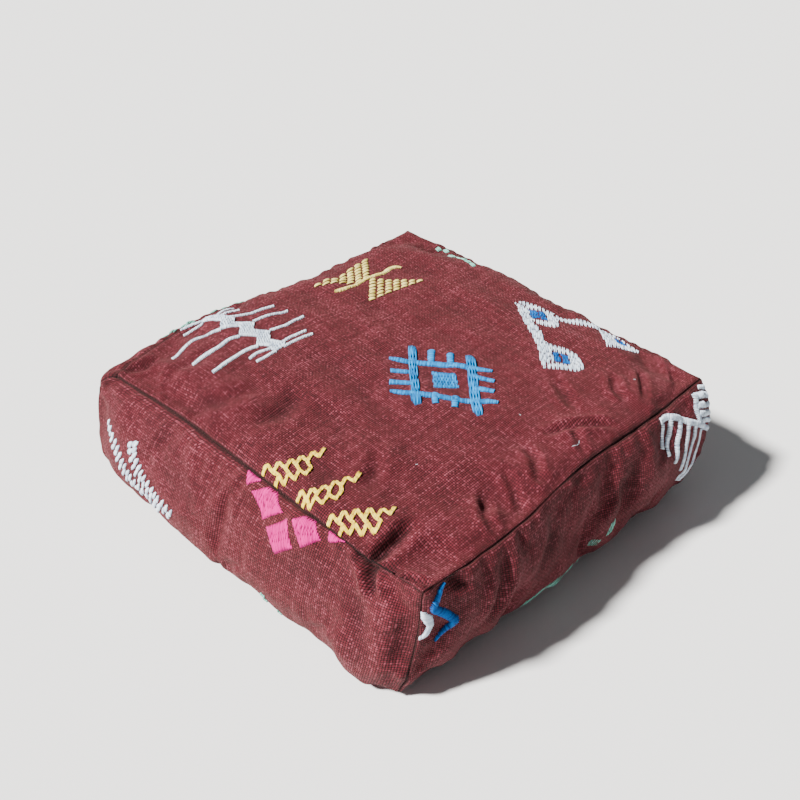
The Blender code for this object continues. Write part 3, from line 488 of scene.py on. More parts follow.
# %% The folds of each panel
# each: its path, width and depth, the ridges' height as a share of the depth, and the share of the
# path over which it fades
FOLDS = {
    "top": [
        (
            [(0.198, -0.300), (0.211, -0.296), (0.214, -0.275), (0.214, -0.250), (0.212, -0.215)],
            0.0080, 0.012, 0.35, 0.34,
        ),
        ([(0.196, -0.302), (0.222, -0.302), (0.262, -0.301)], 0.0090, 0.016, 0.0, 0.3),
        ([(0.233, -0.290), (0.242, -0.288)], 0.0080, 0.007, 0.0, 0.0),
        (
            [(0.252, -0.292), (0.270, -0.286), (0.286, -0.280), (0.292, -0.270)],
            0.0055, 0.010, 0.25, 0.3,
        ),
        ([(0.205, 0.190), (0.232, 0.160), (0.262, 0.150)], 0.0060, 0.0055, 0.5, 0.3),
        ([(0.294, -0.165), (0.262, -0.150), (0.232, -0.112)], 0.0065, 0.0048, 0.5, 0.3),
        ([(0.290, -0.110), (0.256, -0.085), (0.222, -0.070)], 0.0060, 0.0048, 0.5, 0.3),
        (
            [(0.292, -0.040), (0.268, -0.052), (0.246, -0.030), (0.214, -0.020)],
            0.0060, 0.0060, 0.5, 0.3,
        ),
        ([(0.290, 0.110), (0.262, 0.085), (0.240, 0.050), (0.226, 0.004)], 0.0060, 0.0060, 0.5, 0.3),
        ([(0.140, -0.236), (0.120, -0.190), (0.088, -0.150)], 0.0090, 0.0040, 0.5, 0.35),
        ([(-0.060, -0.270), (-0.040, -0.200), (-0.060, -0.140)], 0.0120, 0.0040, 0.5, 0.35),
        ([(-0.150, -0.290), (-0.110, -0.230), (-0.100, -0.180)], 0.0110, 0.0040, 0.5, 0.35),
        ([(0.150, 0.120), (0.190, 0.100), (0.230, 0.080)], 0.0070, 0.0040, 0.5, 0.3),
        ([(0.222, 0.235), (0.250, 0.200), (0.276, 0.168)], 0.0050, 0.0050, 0.5, 0.3),
        ([(0.236, 0.060), (0.262, 0.040), (0.292, 0.026)], 0.0060, 0.0040, 0.5, 0.3),
        ([(-0.225, -0.262), (-0.205, -0.215), (-0.200, -0.170)], 0.0100, 0.0040, 0.4, 0.35),
        ([(-0.298, -0.288), (-0.276, -0.262), (-0.262, -0.232)], 0.0070, 0.0060, 0.4, 0.3),
    ],
    "front": [
        ([(0.205, 0.192), (0.218, 0.182), (0.226, 0.172), (0.240, 0.150)], 0.0060, 0.012, 0.5, 0.3),
        ([(0.185, 0.194), (0.222, 0.190), (0.250, 0.190)], 0.0080, 0.014, 0.0, 0.3),
        ([(0.205, 0.160), (0.228, 0.120), (0.240, 0.075), (0.236, 0.030)], 0.0160, 0.0060, 0.6, 0.35),
        ([(0.284, 0.170), (0.288, 0.120), (0.286, 0.060)], 0.0120, 0.0050, 0.3, 0.35),
        ([(-0.150, 0.150), (-0.070, 0.100), (0.020, 0.075)], 0.0260, 0.0030, 0.5, 0.35),
    ],
    "right": [
        ([(-0.262, 0.192), (-0.240, 0.178), (-0.222, 0.158)], 0.0070, 0.0060, 0.5, 0.3),
        ([(-0.166, 0.188), (-0.172, 0.140), (-0.190, 0.080)], 0.0100, 0.0090, 0.5, 0.3),
        ([(-0.060, 0.185), (-0.070, 0.140), (-0.110, 0.090)], 0.0120, 0.0050, 0.4, 0.35),
        ([(0.110, 0.180), (0.090, 0.120), (0.096, 0.070)], 0.0140, 0.0050, 0.4, 0.35),
    ],
    "left": [
        ([(0.060, 0.180), (0.070, 0.120), (0.050, 0.060)], 0.0140, 0.0050, 0.4, 0.35),
        ([(-0.140, 0.175), (-0.120, 0.110), (-0.140, 0.050)], 0.0140, 0.0050, 0.4, 0.35),
    ],
    "back": [
        ([(-0.292, 0.150), (-0.262, 0.120), (-0.270, 0.050)], 0.0080, 0.0050, 0.4, 0.35),
        ([(0.286, 0.160), (0.262, 0.110), (0.270, 0.050)], 0.0080, 0.0050, 0.4, 0.35),
    ],
    "bottom": [
        ([(-0.290, 0.290), (-0.262, 0.262), (-0.240, 0.240)], 0.0080, 0.0050, 0.4, 0.3),
        ([(0.290, 0.290), (0.262, 0.262), (0.240, 0.240)], 0.0080, 0.0050, 0.4, 0.3),
    ],
}
print("folds:", {name: len(FOLDS[name]) for name in PANELS})


# %% A slow random wave
def uneven(points, size, seed):
    """A third of the sum of nine sine waves in fixed random directions, about size metres long."""
    dice = np.random.default_rng(seed)
    total = np.zeros(points.shape[:-1])
    for _ in range(9):
        way = dice.normal(size=3)
        way /= np.linalg.norm(way)
        turns = points @ way * 2 * math.pi / (size * dice.uniform(0.7, 1.6))
        total += np.sin(turns + dice.uniform(0, 6.3))
    return total / 3


# %% Sink the seams and folds into the fine panels
GROOVE_DEPTH = 0.0075  # how far both panels sink at a seam
GROOVE_WIDTH = 0.0042
LUMP = 0.0022  # the filling's unevenness
PUCKER = 0.00055  # the washed cloth's own small puckers, a few centimetres apart
EASE_FROM = -0.348  # past this the front is eased in, to stay within the frame's room
EASE_ROOM = 0.008  # and goes at most this much further
# painted shade: this mask darkens the cloth's colour in the seams and folds, where shade falls
painted_crease_shade = {}  # how deep in a seam or fold each point lies, from 0 to 1, for the cloth's colour
for name in PANELS:
    across, up = centred(name)
    first, second = pattern[name]
    along_seam = np.minimum(lines[name][0], first - lines[name][0])[:, None]
    beside_seam = np.minimum(lines[name][1], second - lines[name][1])[None, :]
    to_seam = np.minimum(along_seam, beside_seam)
    move = sum((fold(across, up, *facts) for facts in FOLDS[name]), np.zeros_like(across))
    move *= smooth(to_seam / 0.006 + 0.45)
    move += LUMP * uneven(fine[name], 0.085, 3) * smooth(to_seam / 0.02)
    move += PUCKER * uneven(fine[name], 0.026, 5) * smooth(to_seam / 0.01)
    free = 1 - beside_zip(fine[name])
    if name == "bottom":
        free = smooth(fine[name][..., 2] / 0.004)
    # painted shade: the deeper a point lies in a fold or in a seam's groove, the darker its colour is
    # made
    painted_crease_shade[name] = np.clip(-move * free / 0.013, 0, 1) * 0.75 + np.exp(-((to_seam / 0.0021) ** 2))
    painted_crease_shade[name] = np.clip(painted_crease_shade[name] + 0.30 * np.exp(-((to_seam / 0.006) ** 2)), 0, 1)
    move = move * free - GROOVE_DEPTH * np.exp(-((to_seam / GROOVE_WIDTH) ** 1.3))
    fine[name] = fine[name] + move[..., None] * pushed[name]
    past = np.maximum(EASE_FROM - fine[name][..., 1], 0)
    fine[name][..., 1] += past - EASE_ROOM * np.tanh(past / EASE_ROOM)
    fine[name][..., 2] = np.maximum(fine[name][..., 2], 0.0)
print("deepest creases:", {name: round(float(painted_crease_shade[name].max()), 2) for name in PANELS})

# %% [markdown]
# ## The cover's cloth
# The cover is a plain weave of thick cotton in which lighter and darker reddish-brown fibres are
# spun together. Up close each thread is a little bead where it comes to the top. The material
# builds that from the panel's flat pattern in metres: threads run along and across it, and take
# turns on top like the squares of a chessboard. Their height drives a bump, and fibres and slubs
# vary the colour from thread to thread.
# Painted shade darkens the colour in the pits between the beads and down in the seams and tucks.

# %% A short way to write node trees
class Nodes:
    """Builds a material's nodes: each call makes one node, links its inputs and returns an output."""

    def __init__(self, name):
        self.material = bpy.data.materials.new(name)
        self.material.use_nodes = True
        self.tree = self.material.node_tree
        self.shader = self.tree.nodes["Principled BSDF"]

    def add(self, kind, inputs=(), output=0, **settings):
        node = self.tree.nodes.new(kind)
        for key, value in settings.items():
            setattr(node, key, value)
        for key, value in dict(inputs).items():
            self.put(node.inputs[key], value)
        return node.outputs[output]

    def put(self, socket, value):
        if isinstance(value, bpy.types.NodeSocket):
            self.tree.links.new(value, socket)
        else:
            socket.default_value = value

    def maths(self, operation, a, b=0.0, clamp=False):
        return self.add("ShaderNodeMath", {0: a, 1: b}, operation=operation, use_clamp=clamp)

    def mix(self, share, a, b, blend="MIX"):
        return self.add(
            "ShaderNodeMix", {0: share, 6: a, 7: b}, output=2, data_type="RGBA", blend_type=blend
        )

    def spread(self, value, low, high, new_low=0.0, new_high=1.0):
        return self.add(
            "ShaderNodeMapRange", {0: value, 1: low, 2: high, 3: new_low, 4: new_high}
        )

    def noise(self, vector, scale, detail=2.0, rough=0.5, dimensions="3D"):
        inputs = {"Vector": vector, "Scale": scale, "Detail": detail, "Roughness": rough}
        return self.add("ShaderNodeTexNoise", inputs, noise_dimensions=dimensions)

    def stretch(self, vector, scale):
        return self.add("ShaderNodeVectorMath", {0: vector, 1: scale}, operation="MULTIPLY")


def tone(red, green, blue):
    """A colour given as 0 to 255 on screen, turned to the linear values that shaders use."""
    screen = np.array([red, green, blue]) / 255
    linear = np.where(screen <= 0.04045, screen / 12.92, ((screen + 0.055) / 1.055) ** 2.4)
    return (*linear.tolist(), 1.0)


# %% Which thread is on top, and the bead that it makes
def weave_beads(n, place, pitch):
    """Columns and rows pitch apart. Over each cell: 1 less a bowl, shallow along the thread on top."""
    cells = n.stretch(place, (1 / pitch, 1 / pitch, 0.0))
    parts = n.tree.nodes.new("ShaderNodeSeparateXYZ")
    n.put(parts.inputs[0], cells)
    u, v = parts.outputs[0], parts.outputs[1]
    column, row = n.maths("FLOOR", u), n.maths("FLOOR", v)
    turn = n.maths("PINGPONG", n.maths("ADD", column, row), 1.0)
    x = n.maths("SUBTRACT", n.maths("FRACT", u), 0.5)
    y = n.maths("SUBTRACT", n.maths("FRACT", v), 0.5)
    xx, yy = n.maths("MULTIPLY", x, x), n.maths("MULTIPLY", y, y)
    warp = n.maths("ADD", n.maths("MULTIPLY", xx, 3.6), n.maths("MULTIPLY", yy, 1.5))
    weft = n.maths("ADD", n.maths("MULTIPLY", xx, 1.5), n.maths("MULTIPLY", yy, 3.6))
    across = n.add("ShaderNodeMix", {0: turn, 2: warp, 3: weft}, output=0, data_type="FLOAT")
    return column, row, turn, n.maths("SUBTRACT", 1.0, across, clamp=True)


# %% The heathered plain weave
SHADE_SHARES = {"own": 0.13, "cast": 0.12, "slub": 0.12, "patch": 0.16, "fibre": 0.40}


def woven(name, pitch, dark, middle, light, map_name, bump=0.0009, fuzz=0.35):
    """Colour: a blend by shade, times the bead as painted shade in the pits. Height: the bead, plus
    fibres and slubs.
    """
    n = Nodes(name)
    place = n.add("ShaderNodeUVMap", uv_map=map_name)
    # threads wander a little, so that no row is ruler-straight
    wander = n.add("ShaderNodeTexNoise", {"Vector": place, "Scale": 26.0, "Detail": 1.0}, output=1)
    wander = n.add("ShaderNodeVectorMath", {0: wander, 1: (0.5, 0.5, 0.5)}, operation="SUBTRACT")
    wander = n.stretch(wander, (0.0024, 0.0024, 0.0))
    place = n.add("ShaderNodeVectorMath", {0: place, 1: wander}, operation="ADD")
    column, row, turn, bead = weave_beads(n, place, pitch)
    # each bead has its own shade, each thread its own cast, and slubs run along the threads
    cell = n.add("ShaderNodeCombineXYZ", {0: column, 1: row, 2: 0.0})
    thread = n.add("ShaderNodeMix", {0: turn, 2: column, 3: row}, output=0, data_type="FLOAT")
    slub = n.noise(n.stretch(place, (1.0, 0.22, 1.0)), 520.0, 2.0, 0.6)
    fibre = n.noise(place, 1500.0, 2.0, 0.7)
    varied = {
        "own": n.add("ShaderNodeTexWhiteNoise", {"Vector": cell}, noise_dimensions="2D"),
        "cast": n.add("ShaderNodeTexWhiteNoise", {"W": thread}, noise_dimensions="1D"),
        "slub": slub,
        "patch": n.noise(place, 14.0, 3.0, 0.55),
        "fibre": fibre,
    }
    shade = 0.0
    for part, share in SHADE_SHARES.items():
        shade = n.maths("ADD", shade, n.maths("MULTIPLY", varied[part], share))
    shade = n.spread(shade, 0.22, 0.74)
    colour = n.mix(n.spread(shade, 0.0, 0.5), dark, middle)
    colour = n.mix(n.spread(shade, 0.5, 1.0), colour, light)
    # painted shade: the colour is multiplied darker down in the pits between the beads, where shade
    # falls in the weave
    pit = n.spread(bead, 0.12, 0.92, 0.04, 1.0)
    painted_pit_shade = n.add("ShaderNodeCombineXYZ", {0: pit, 1: pit, 2: pit})
    colour = n.mix(1.0, colour, painted_pit_shade, "MULTIPLY")
    # painted shade: down in a seam or a tuck the colour is blended towards near-black, by how deep the
    # point lies there
    sunk = n.add("ShaderNodeAttribute", attribute_name="painted_crease_shade", output=2)
    n.put(n.shader.inputs["Base Color"], n.mix(sunk, colour, tone(10, 1, 2)))
    height = n.maths("ADD", bead, n.maths("MULTIPLY", fibre, fuzz))
    height = n.maths("ADD", height, n.maths("MULTIPLY", slub, 0.5))
    normal = n.add("ShaderNodeBump", {"Height": height, "Distance": bump, "Strength": 1.0})
    n.put(n.shader.inputs["Normal"], normal)
    n.put(n.shader.inputs["Roughness"], n.spread(fibre, 0.2, 0.8, 0.78, 0.96))
    n.shader.inputs["Sheen Weight"].default_value = 0.10
    n.shader.inputs["Sheen Roughness"].default_value = 0.45
    n.shader.inputs["Sheen Tint"].default_value = tone(232, 150, 142)
    n.shader.inputs["Specular IOR Level"].default_value = 0.22
    return n.material


# %% The cover's own maroon
dark, middle, light = tone(30, 4, 9), tone(94, 23, 34), tone(184, 96, 112)
cover_cloth = woven("cover_cloth", 0.0030, dark, middle, light, "Cut")
print("cloth:", cover_cloth.name, "with", len(cover_cloth.node_tree.nodes), "nodes")

# %% [markdown]
# ## Seven panels of cloth
# Each panel is a sheet with a thickness, on its own grid. Two maps go on it: Cut, the flat pattern
# in metres, carries the weave, and OFBake is the same pattern scaled to fill a square.

# %% Make the panels
CLOTH = 0.0018  # thickness


def with_maps(piece, first, second):
    """Gives a grid piece its pattern in metres (Cut) and the same filling a square (OFBake)."""
    loops = np.empty(len(piece.data.loops), np.int32)
    piece.data.loops.foreach_get("vertex_index", loops)
    cut = np.stack(np.broadcast_arrays(first, second), -1).reshape(-1, 2)[loops]
    low, high = cut.min(0), cut.max(0)
    square = 0.01 + 0.98 * (cut - low) / (high - low)
    for name, values in (("OFBake", square), ("Cut", cut)):
        layer = piece.data.uv_layers.new(name=name)
        layer.data.foreach_set("uv", values.astype(np.float32).ravel())


def cloth_piece(name, points, first, second, sunk, nodes):
    """A panel from a grid of points, with its maps, its painted shade of seams and folds, its thickness
    inwards, and its body and slot.
    """
    rows, columns = points.shape[:2]
    piece = mesh_of(name, points, grid_faces(rows, columns))
    with_maps(piece, first, second)
    # the painted shade of the seams and folds goes on as a point attribute, which the cloth's colour
    # reads
    sunk = np.ascontiguousarray(sunk, np.float32).ravel()
    piece.data.attributes.new("painted_crease_shade", "FLOAT", "POINT").data.foreach_set("value", sunk)
    piece.data.materials.append(cover_cloth)
    wall = piece.modifiers.new("thickness", "SOLIDIFY")
    wall.thickness = CLOTH
    wall.offset = -1
    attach(piece, "cushion")
    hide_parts(*nodes)
    return piece


# %% Five whole panels
for name in ("top", "bottom", "front", "right", "left"):
    first, second = centred(name)
    piece = cloth_piece(name + "_cloth", fine[name], first, second, painted_crease_shade[name], [name + "_panel"])
    print(piece.name, len(piece.data.polygons), "faces")

# %% [markdown]
# ## The back, in two halves
# A zip is sewn between two pieces of cloth whose edges are folded under. So the back is cut at the
# zip's height. Each half's edge runs a few millimetres clear of the coil and comes back to the
# middle past the zip's ends, where the two halves are sewn together. The cloth near the slot is
# spread a little, so that no row of the weave is crushed.

# %% Cut the back at the zip
SLOT_HALF = 0.0058  # the cloth's folded edges stop this far above and below the zip's middle
SLOT_END = ZIP_REACH + 0.0095  # where they come together past the zip's ends
EDGE_GAP = 0.00015  # half of the gap that is left where they meet
back = fine["back"]
first, second = centred("back")
middle_line = np.interp(ZIP_HEIGHT, back[len(back) // 2, :, 2], second[0])
for name, sign in (("back_lower_cloth", -1), ("back_upper_cloth", 1)):
    keep = np.flatnonzero(second[0] * sign > middle_line * sign + 0.0008)
    edge = back[:, keep[-1 if sign < 0 else 0]].copy()
    inside = smooth((SLOT_END - np.abs(edge[:, 0])) / 0.004)
    edge[:, 2] = ZIP_HEIGHT + sign * (EDGE_GAP + SLOT_HALF * inside)
    part = back[:, keep].copy()
    reach = np.abs(part[..., 2] - ZIP_HEIGHT)
    clear = np.abs(edge[:, 2:3] - ZIP_HEIGHT)
    wanted = np.maximum(reach, clear + 0.55 * reach * np.exp(-reach / 0.010))
    part[..., 2] = ZIP_HEIGHT + sign * wanted
    order = (part, edge[:, None]) if sign < 0 else (edge[:, None], part)
    points = np.concatenate(order, axis=1)
    lower_line, upper_line = [second[0, keep], [middle_line]], [[middle_line], second[0, keep]]
    line = np.concatenate(lower_line if sign < 0 else upper_line)
    # painted shade of the seams and folds, and none on the row along the slot's edge
    plain = np.zeros((len(part), 1))
    sunk = painted_crease_shade["back"][:, keep]
    sunk = np.concatenate([sunk, plain] if sign < 0 else [plain, sunk], axis=1)
    node = "back_panel_" + name.split("_")[1]
    piece = cloth_piece(name, points, first[:, :1], line[None, :], sunk, [node])
    print(piece.name, len(piece.data.polygons), "faces")

# %% [markdown]
# ## Threads worked over the cloth
# The motifs stand proud of the cloth because each is made of many separate stitches: a thread comes
# up through the cloth, crosses it for a few millimetres and goes down again. So each stitch here is a
# small padded tube whose two ends lie on the cloth. A motif is drawn once, in millimetres on the
# panel's flat pattern, and three ways of working fill it: straight threads across an outline, a
# ribbon of stitches across a line, and plump stitches in two columns beside a line.

# %% Places on a panel
MM = 0.001
first_lines, second_lines, facing = {}, {}, {}
for name in PANELS:
    first_lines[name] = lines[name][0] - HALF
    second_lines[name] = lines[name][1] + (-HALF if name in ("top", "bottom") else FOOT_SEAM)
    slope_first = np.gradient(fine[name], first_lines[name], axis=0)
    slope_second = np.gradient(fine[name], second_lines[name], axis=1)
    turned = np.cross(slope_first, slope_second)
    facing[name] = turned / np.linalg.norm(turned, axis=-1, keepdims=True)


def on_panel(name, spots):
    """The points in space, and the cloth's outward directions, at places on a panel's flat pattern."""
    shares, cells = [], []
    for axis, places in enumerate((first_lines[name], second_lines[name])):
        at = np.clip(spots[..., axis], places[0], places[-1])
        cell = np.clip(np.searchsorted(places, at) - 1, 0, len(places) - 2)
        cells.append(cell)
        shares.append(((at - places[cell]) / (places[cell + 1] - places[cell]))[..., None])
    (i, j), (s, t) = cells, shares

    def read(grid):
        low = grid[i, j] * (1 - s) + grid[i + 1, j] * s
        high = grid[i, j + 1] * (1 - s) + grid[i + 1, j + 1] * s
        return low * (1 - t) + high * t

    return read(fine[name]), read(facing[name])


middle_point, middle_way = on_panel("top", np.zeros(2))
print("the top's middle:", middle_point.round(3), "facing", middle_way.round(2))

# %% The shape of padded stitches
SLOT_OF = {part["node"]: part["material_slot"] for part in frame["record"]["subparts"]}
ROUND = 6  # sides of a stitch
RINGS = 5  # rings along it


def tube_points(panel, stitches, width, height, lift):
    """Rings round each stitch's line. Width and height swell to full in the middle, and the line
    itself rises off the cloth there by lift."""
    share = np.linspace(0, 1, RINGS)[None, :, None]
    spots = stitches[:, :1] * (1 - share) + stitches[:, 1:] * share
    centre, out = on_panel(panel, spots)
    ahead = np.gradient(centre, axis=1)
    ahead /= np.linalg.norm(ahead, axis=-1, keepdims=True) + 1e-12
    beside = np.cross(ahead, out)
    beside /= np.linalg.norm(beside, axis=-1, keepdims=True) + 1e-12
    plump = np.sqrt(np.clip(1 - np.abs(2 * share - 1) ** 3, 0, 1)) * 0.66 + 0.34
    centre = centre + out * (lift * (1 - (2 * share - 1) ** 2))
    turn = (2 * np.arange(ROUND) + 1) * math.pi / ROUND
    sideways = beside[:, :, None] * (plump * width / 2)[..., None] * np.cos(turn)[:, None]
    upwards = out[:, :, None] * (plump * height)[..., None] * (0.5 * np.sin(turn) + 0.32)[:, None]
    return centre[:, :, None] + sideways + upwards


# %% The faces of a six-sided tube, and its bake map
def tube_faces(rings):
    """Faces of one tube: a wall of four-sided faces, and two of them to close each end."""
    ring, side = np.meshgrid(np.arange(rings - 1), np.arange(ROUND), indexing="ij")
    here, there = ring.ravel() * ROUND, (ring.ravel() + 1) * ROUND
    side = side.ravel()
    after = (side + 1) % ROUND
    wall = np.stack([here + side, there + side, there + after, here + after], -1)
    end = (rings - 1) * ROUND
    far_caps = [[end + 3, end + 2, end + 1, end], [end + 5, end + 4, end + 3, end]]
    return np.concatenate([wall, [[0, 1, 2, 3], [0, 3, 4, 5]], far_caps])


def tube_tiles(count):
    """Each stitch unrolled into its own tile of a square: along it one way, round it the other."""
    ring, side = np.meshgrid(np.arange(RINGS - 1), np.arange(ROUND), indexing="ij")
    ring, side = ring.ravel(), side.ravel()
    wall_u = np.stack([ring, ring + 1, ring + 1, ring], -1) / (RINGS - 1)
    wall_v = np.stack([side, side, side + 1, side + 1], -1) / ROUND
    cap_u = np.array([[0.0] * 4, [0.0] * 4, [1.0] * 4, [1.0] * 4])
    near_v = [[0.1, 0.3, 0.5, 0.7], [0.1, 0.5, 0.7, 0.9]]
    far_v = [[0.7, 0.5, 0.3, 0.1], [0.9, 0.7, 0.5, 0.1]]
    tile_u = np.concatenate([wall_u, cap_u])
    tile_v = np.concatenate([wall_v, near_v, far_v])
    tile = np.stack([tile_u, tile_v], -1) * 0.9 + 0.05
    across = math.ceil(math.sqrt(count))
    place = np.stack([np.arange(count) % across, np.arange(count) // across], -1)
    return ((tile[None] + place[:, None, None]) / across).reshape(-1, 2)


print("one stitch:", len(tube_faces(RINGS)), "faces")

# %% One piece of many padded stitches
def stitched(name, panel, stitches, material, nodes, width, height, lift=0.0):
    """All stitches of a motif as one piece: a tube for each, its tile of the bake map and its cast."""
    stitches = np.asarray(stitches, float).reshape(-1, 2, 2)
    count = len(stitches)
    points = tube_points(panel, stitches, width, height, lift)
    first_point = (np.arange(count) * RINGS * ROUND)[:, None, None]
    faces = (tube_faces(RINGS)[None] + first_point).reshape(-1, 4)
    piece = mesh_of(name, points, faces)
    layer = piece.data.uv_layers.new(name="OFBake")
    layer.data.foreach_set("uv", tube_tiles(count).astype(np.float32).ravel())
    # each stitch's own cast of colour, which the yarn's material reads
    cast = np.repeat(np.random.default_rng(count).uniform(0, 1, count), RINGS * ROUND)
    layer = piece.data.attributes.new("cast", "FLOAT", "POINT")
    layer.data.foreach_set("value", cast.astype(np.float32))
    piece.data.materials.append(material)
    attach(piece, "cushion")
    if nodes:
        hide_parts(*nodes)
    print(name, count, "stitches,", len(faces), "faces")
    return piece


# %% Small random steps
UPWARD = np.array([-0.67, 0.74])  # most threads on the top run this way, corner to corner
DICE = np.random.default_rng(11)


def jitter(count, size):
    """Small random steps: no two stitches by hand are quite alike."""
    return DICE.normal(0, size, (count, 2))


# %% First way: parallel threads across an outline
def threads_across(outlines, way, spacing, longest=0.016, bundle=0.0, notch=0.0, loose=0.0002):
    """Parallel threads along way that fill the outlines. A place inside two outlines is left open.
    Long threads are cut into stitches about longest or shorter. With a bundle width, the first
    thread of each bundle is shortened by notch at both ends, which leaves a toothed edge."""
    way = np.asarray(way, float) / np.linalg.norm(way)
    side = np.array([-way[1], way[0]])
    outlines = [np.asarray(outline, float) * MM for outline in outlines]
    every = np.concatenate(outlines) @ side
    rows = np.arange(every.min() + spacing / 2, every.max(), spacing)
    made = []
    for number, row in enumerate(rows):
        meets = []
        for outline in outlines:
            here, there = outline, np.roll(outline, -1, axis=0)
            a, b = here @ side - row, there @ side - row
            cut = a * b < 0
            share = a[cut] / (a[cut] - b[cut])
            meets.extend(((here[cut] + (there - here)[cut] * share[:, None]) @ way).tolist())
        meets.sort()
        short = notch if bundle and number % max(round(bundle / spacing), 1) == 0 else 0.0
        for low, high in zip(meets[::2], meets[1::2]):
            low, high = low + short, high - short
            if high - low < 0.0012:
                continue
            parts = max(math.ceil((high - low) / longest), 1)  # where they meet is staggered
            edges = np.linspace(low, high, parts + 1)
            if parts > 1:
                edges[1:-1] += (number % 2 - 0.5) * (high - low) / parts * 0.5
            made.extend((side * row + way * a, side * row + way * b) for a, b in zip(edges, edges[1:]))
    made = np.array(made)
    return made + jitter(len(made) * 2, loose).reshape(-1, 2, 2)


# %% Second way: a ribbon of stitches across a line
def ribbon(path, widths, spacing, slant=0.0, loose=0.0002):
    """Stitches side by side across a line, as long as its width there. slant leans them forward."""
    path = np.asarray(path, float) * MM
    runs = np.concatenate([[0], np.cumsum(np.linalg.norm(np.diff(path, axis=0), axis=1))])
    count = max(int(runs[-1] / spacing), 2)
    at = (np.arange(count) + 0.5) * runs[-1] / count
    middle = np.stack([flowing(at, runs, path[:, k]) for k in range(2)], -1)
    ahead = np.gradient(middle, axis=0)
    ahead /= np.linalg.norm(ahead, axis=1, keepdims=True)
    side = np.stack([-ahead[:, 1], ahead[:, 0]], -1)
    widths = np.broadcast_to(widths, len(path))
    reach = (np.interp(at, runs, widths) * MM / 2)[:, None]
    lean = ahead * reach * slant
    ends = np.stack([middle - side * reach - lean, middle + side * reach + lean], 1)
    return ends + jitter(count * 2, loose).reshape(-1, 2, 2)


# %% Third way: plump stitches in two columns beside a line
def staggered(path, pitch, offset, half_long, way):
    """Stitches on either side of a line, taking turns, each half_long either way from its middle."""
    path = np.asarray(path, float) * MM
    runs = np.concatenate([[0], np.cumsum(np.linalg.norm(np.diff(path, axis=0), axis=1))])
    count = max(int(runs[-1] / pitch), 2)
    at = (np.arange(count) + 0.5) * runs[-1] / count
    middle = np.stack([np.interp(at, runs, path[:, k]) for k in range(2)], -1)
    ahead = np.gradient(middle, axis=0)
    ahead /= np.linalg.norm(ahead, axis=1, keepdims=True)
    side = np.stack([-ahead[:, 1], ahead[:, 0]], -1)
    turn = np.where(np.arange(count) % 2 == 0, 1.0, -1.0)[:, None]
    centre = middle + side * offset * turn + jitter(count, 0.0003)
    way = np.asarray(way, float) / np.linalg.norm(way)
    return np.stack([centre - way * half_long, centre + way * half_long], 1)


# %% [markdown]
# ## Yarn for the motifs
# The motifs are worked in soft dyed yarn. No two lengths take the dye alike, and fine fibres stand
# out along them. The material blends three shades of one colour by each stitch's own cast, which
# its mesh carries, by a fine noise for the fibres and by a slow one for the dye.

# %% Soft yarn in seven colours
def yarn(name, deep, full, pale, sheen=0.04, rough=0.72):
    """Deep to full to pale by shade, the sum of the cast, a fine noise and a slow one."""
    n = Nodes(name)
    cast = n.add("ShaderNodeAttribute", attribute_name="cast", output=2)
    place = n.add("ShaderNodeTexCoord", output=3)
    fibre = n.noise(n.stretch(place, (1.0, 1.0, 1.6)), 1300.0, 3.0, 0.65)
    patch = n.noise(place, 90.0, 2.0, 0.5)
    shade = n.maths("ADD", n.maths("MULTIPLY", cast, 0.35), n.maths("MULTIPLY", fibre, 0.45))
    shade = n.maths("ADD", shade, n.maths("MULTIPLY", patch, 0.35))
    shade = n.spread(shade, 0.25, 0.85)
    colour = n.mix(n.spread(shade, 0.0, 0.45), deep, full)
    colour = n.mix(n.spread(shade, 0.45, 1.0), colour, pale)
    n.put(n.shader.inputs["Base Color"], colour)
    n.put(n.shader.inputs["Roughness"], n.spread(fibre, 0.2, 0.8, rough - 0.08, rough + 0.12))
    bump = {"Height": fibre, "Distance": 0.0004, "Strength": 0.8}
    n.put(n.shader.inputs["Normal"], n.add("ShaderNodeBump", bump))
    n.shader.inputs["Sheen Weight"].default_value = sheen
    n.shader.inputs["Sheen Roughness"].default_value = 0.4
    n.shader.inputs["Specular IOR Level"].default_value = 0.12
    return n.material


white_yarn = yarn("white_yarn", tone(132, 146, 172), tone(196, 210, 226), tone(226, 238, 248))
sky_yarn = yarn("sky_yarn", tone(0, 60, 104), tone(0, 112, 176), tone(0, 152, 220))
deep_blue_yarn = yarn("deep_blue_yarn", tone(0, 34, 80), tone(0, 74, 142), tone(0, 110, 190))
pink_yarn = yarn("pink_yarn", tone(138, 0, 82), tone(192, 0, 118), tone(218, 0, 140))
yellow_yarn = yarn("yellow_yarn", tone(170, 124, 10), tone(222, 188, 48), tone(244, 224, 104))
cream_yarn = yarn("cream_yarn", tone(146, 124, 54), tone(208, 190, 102), tone(232, 220, 148))
mint_yarn = yarn("mint_yarn", tone(60, 104, 92), tone(104, 172, 156), tone(156, 212, 200))

# %% [markdown]
# ## The motifs on the top
# Each motif is drawn on the top's flat pattern, in millimetres from its middle: x to the right and
# y to the back. Outlines are filled with threads, and lines are worked as ribbons. Giving every
# motif one function call for its piece keeps its stitches together as one thing that could be
# unpicked, which is how the engineering model counts them too.

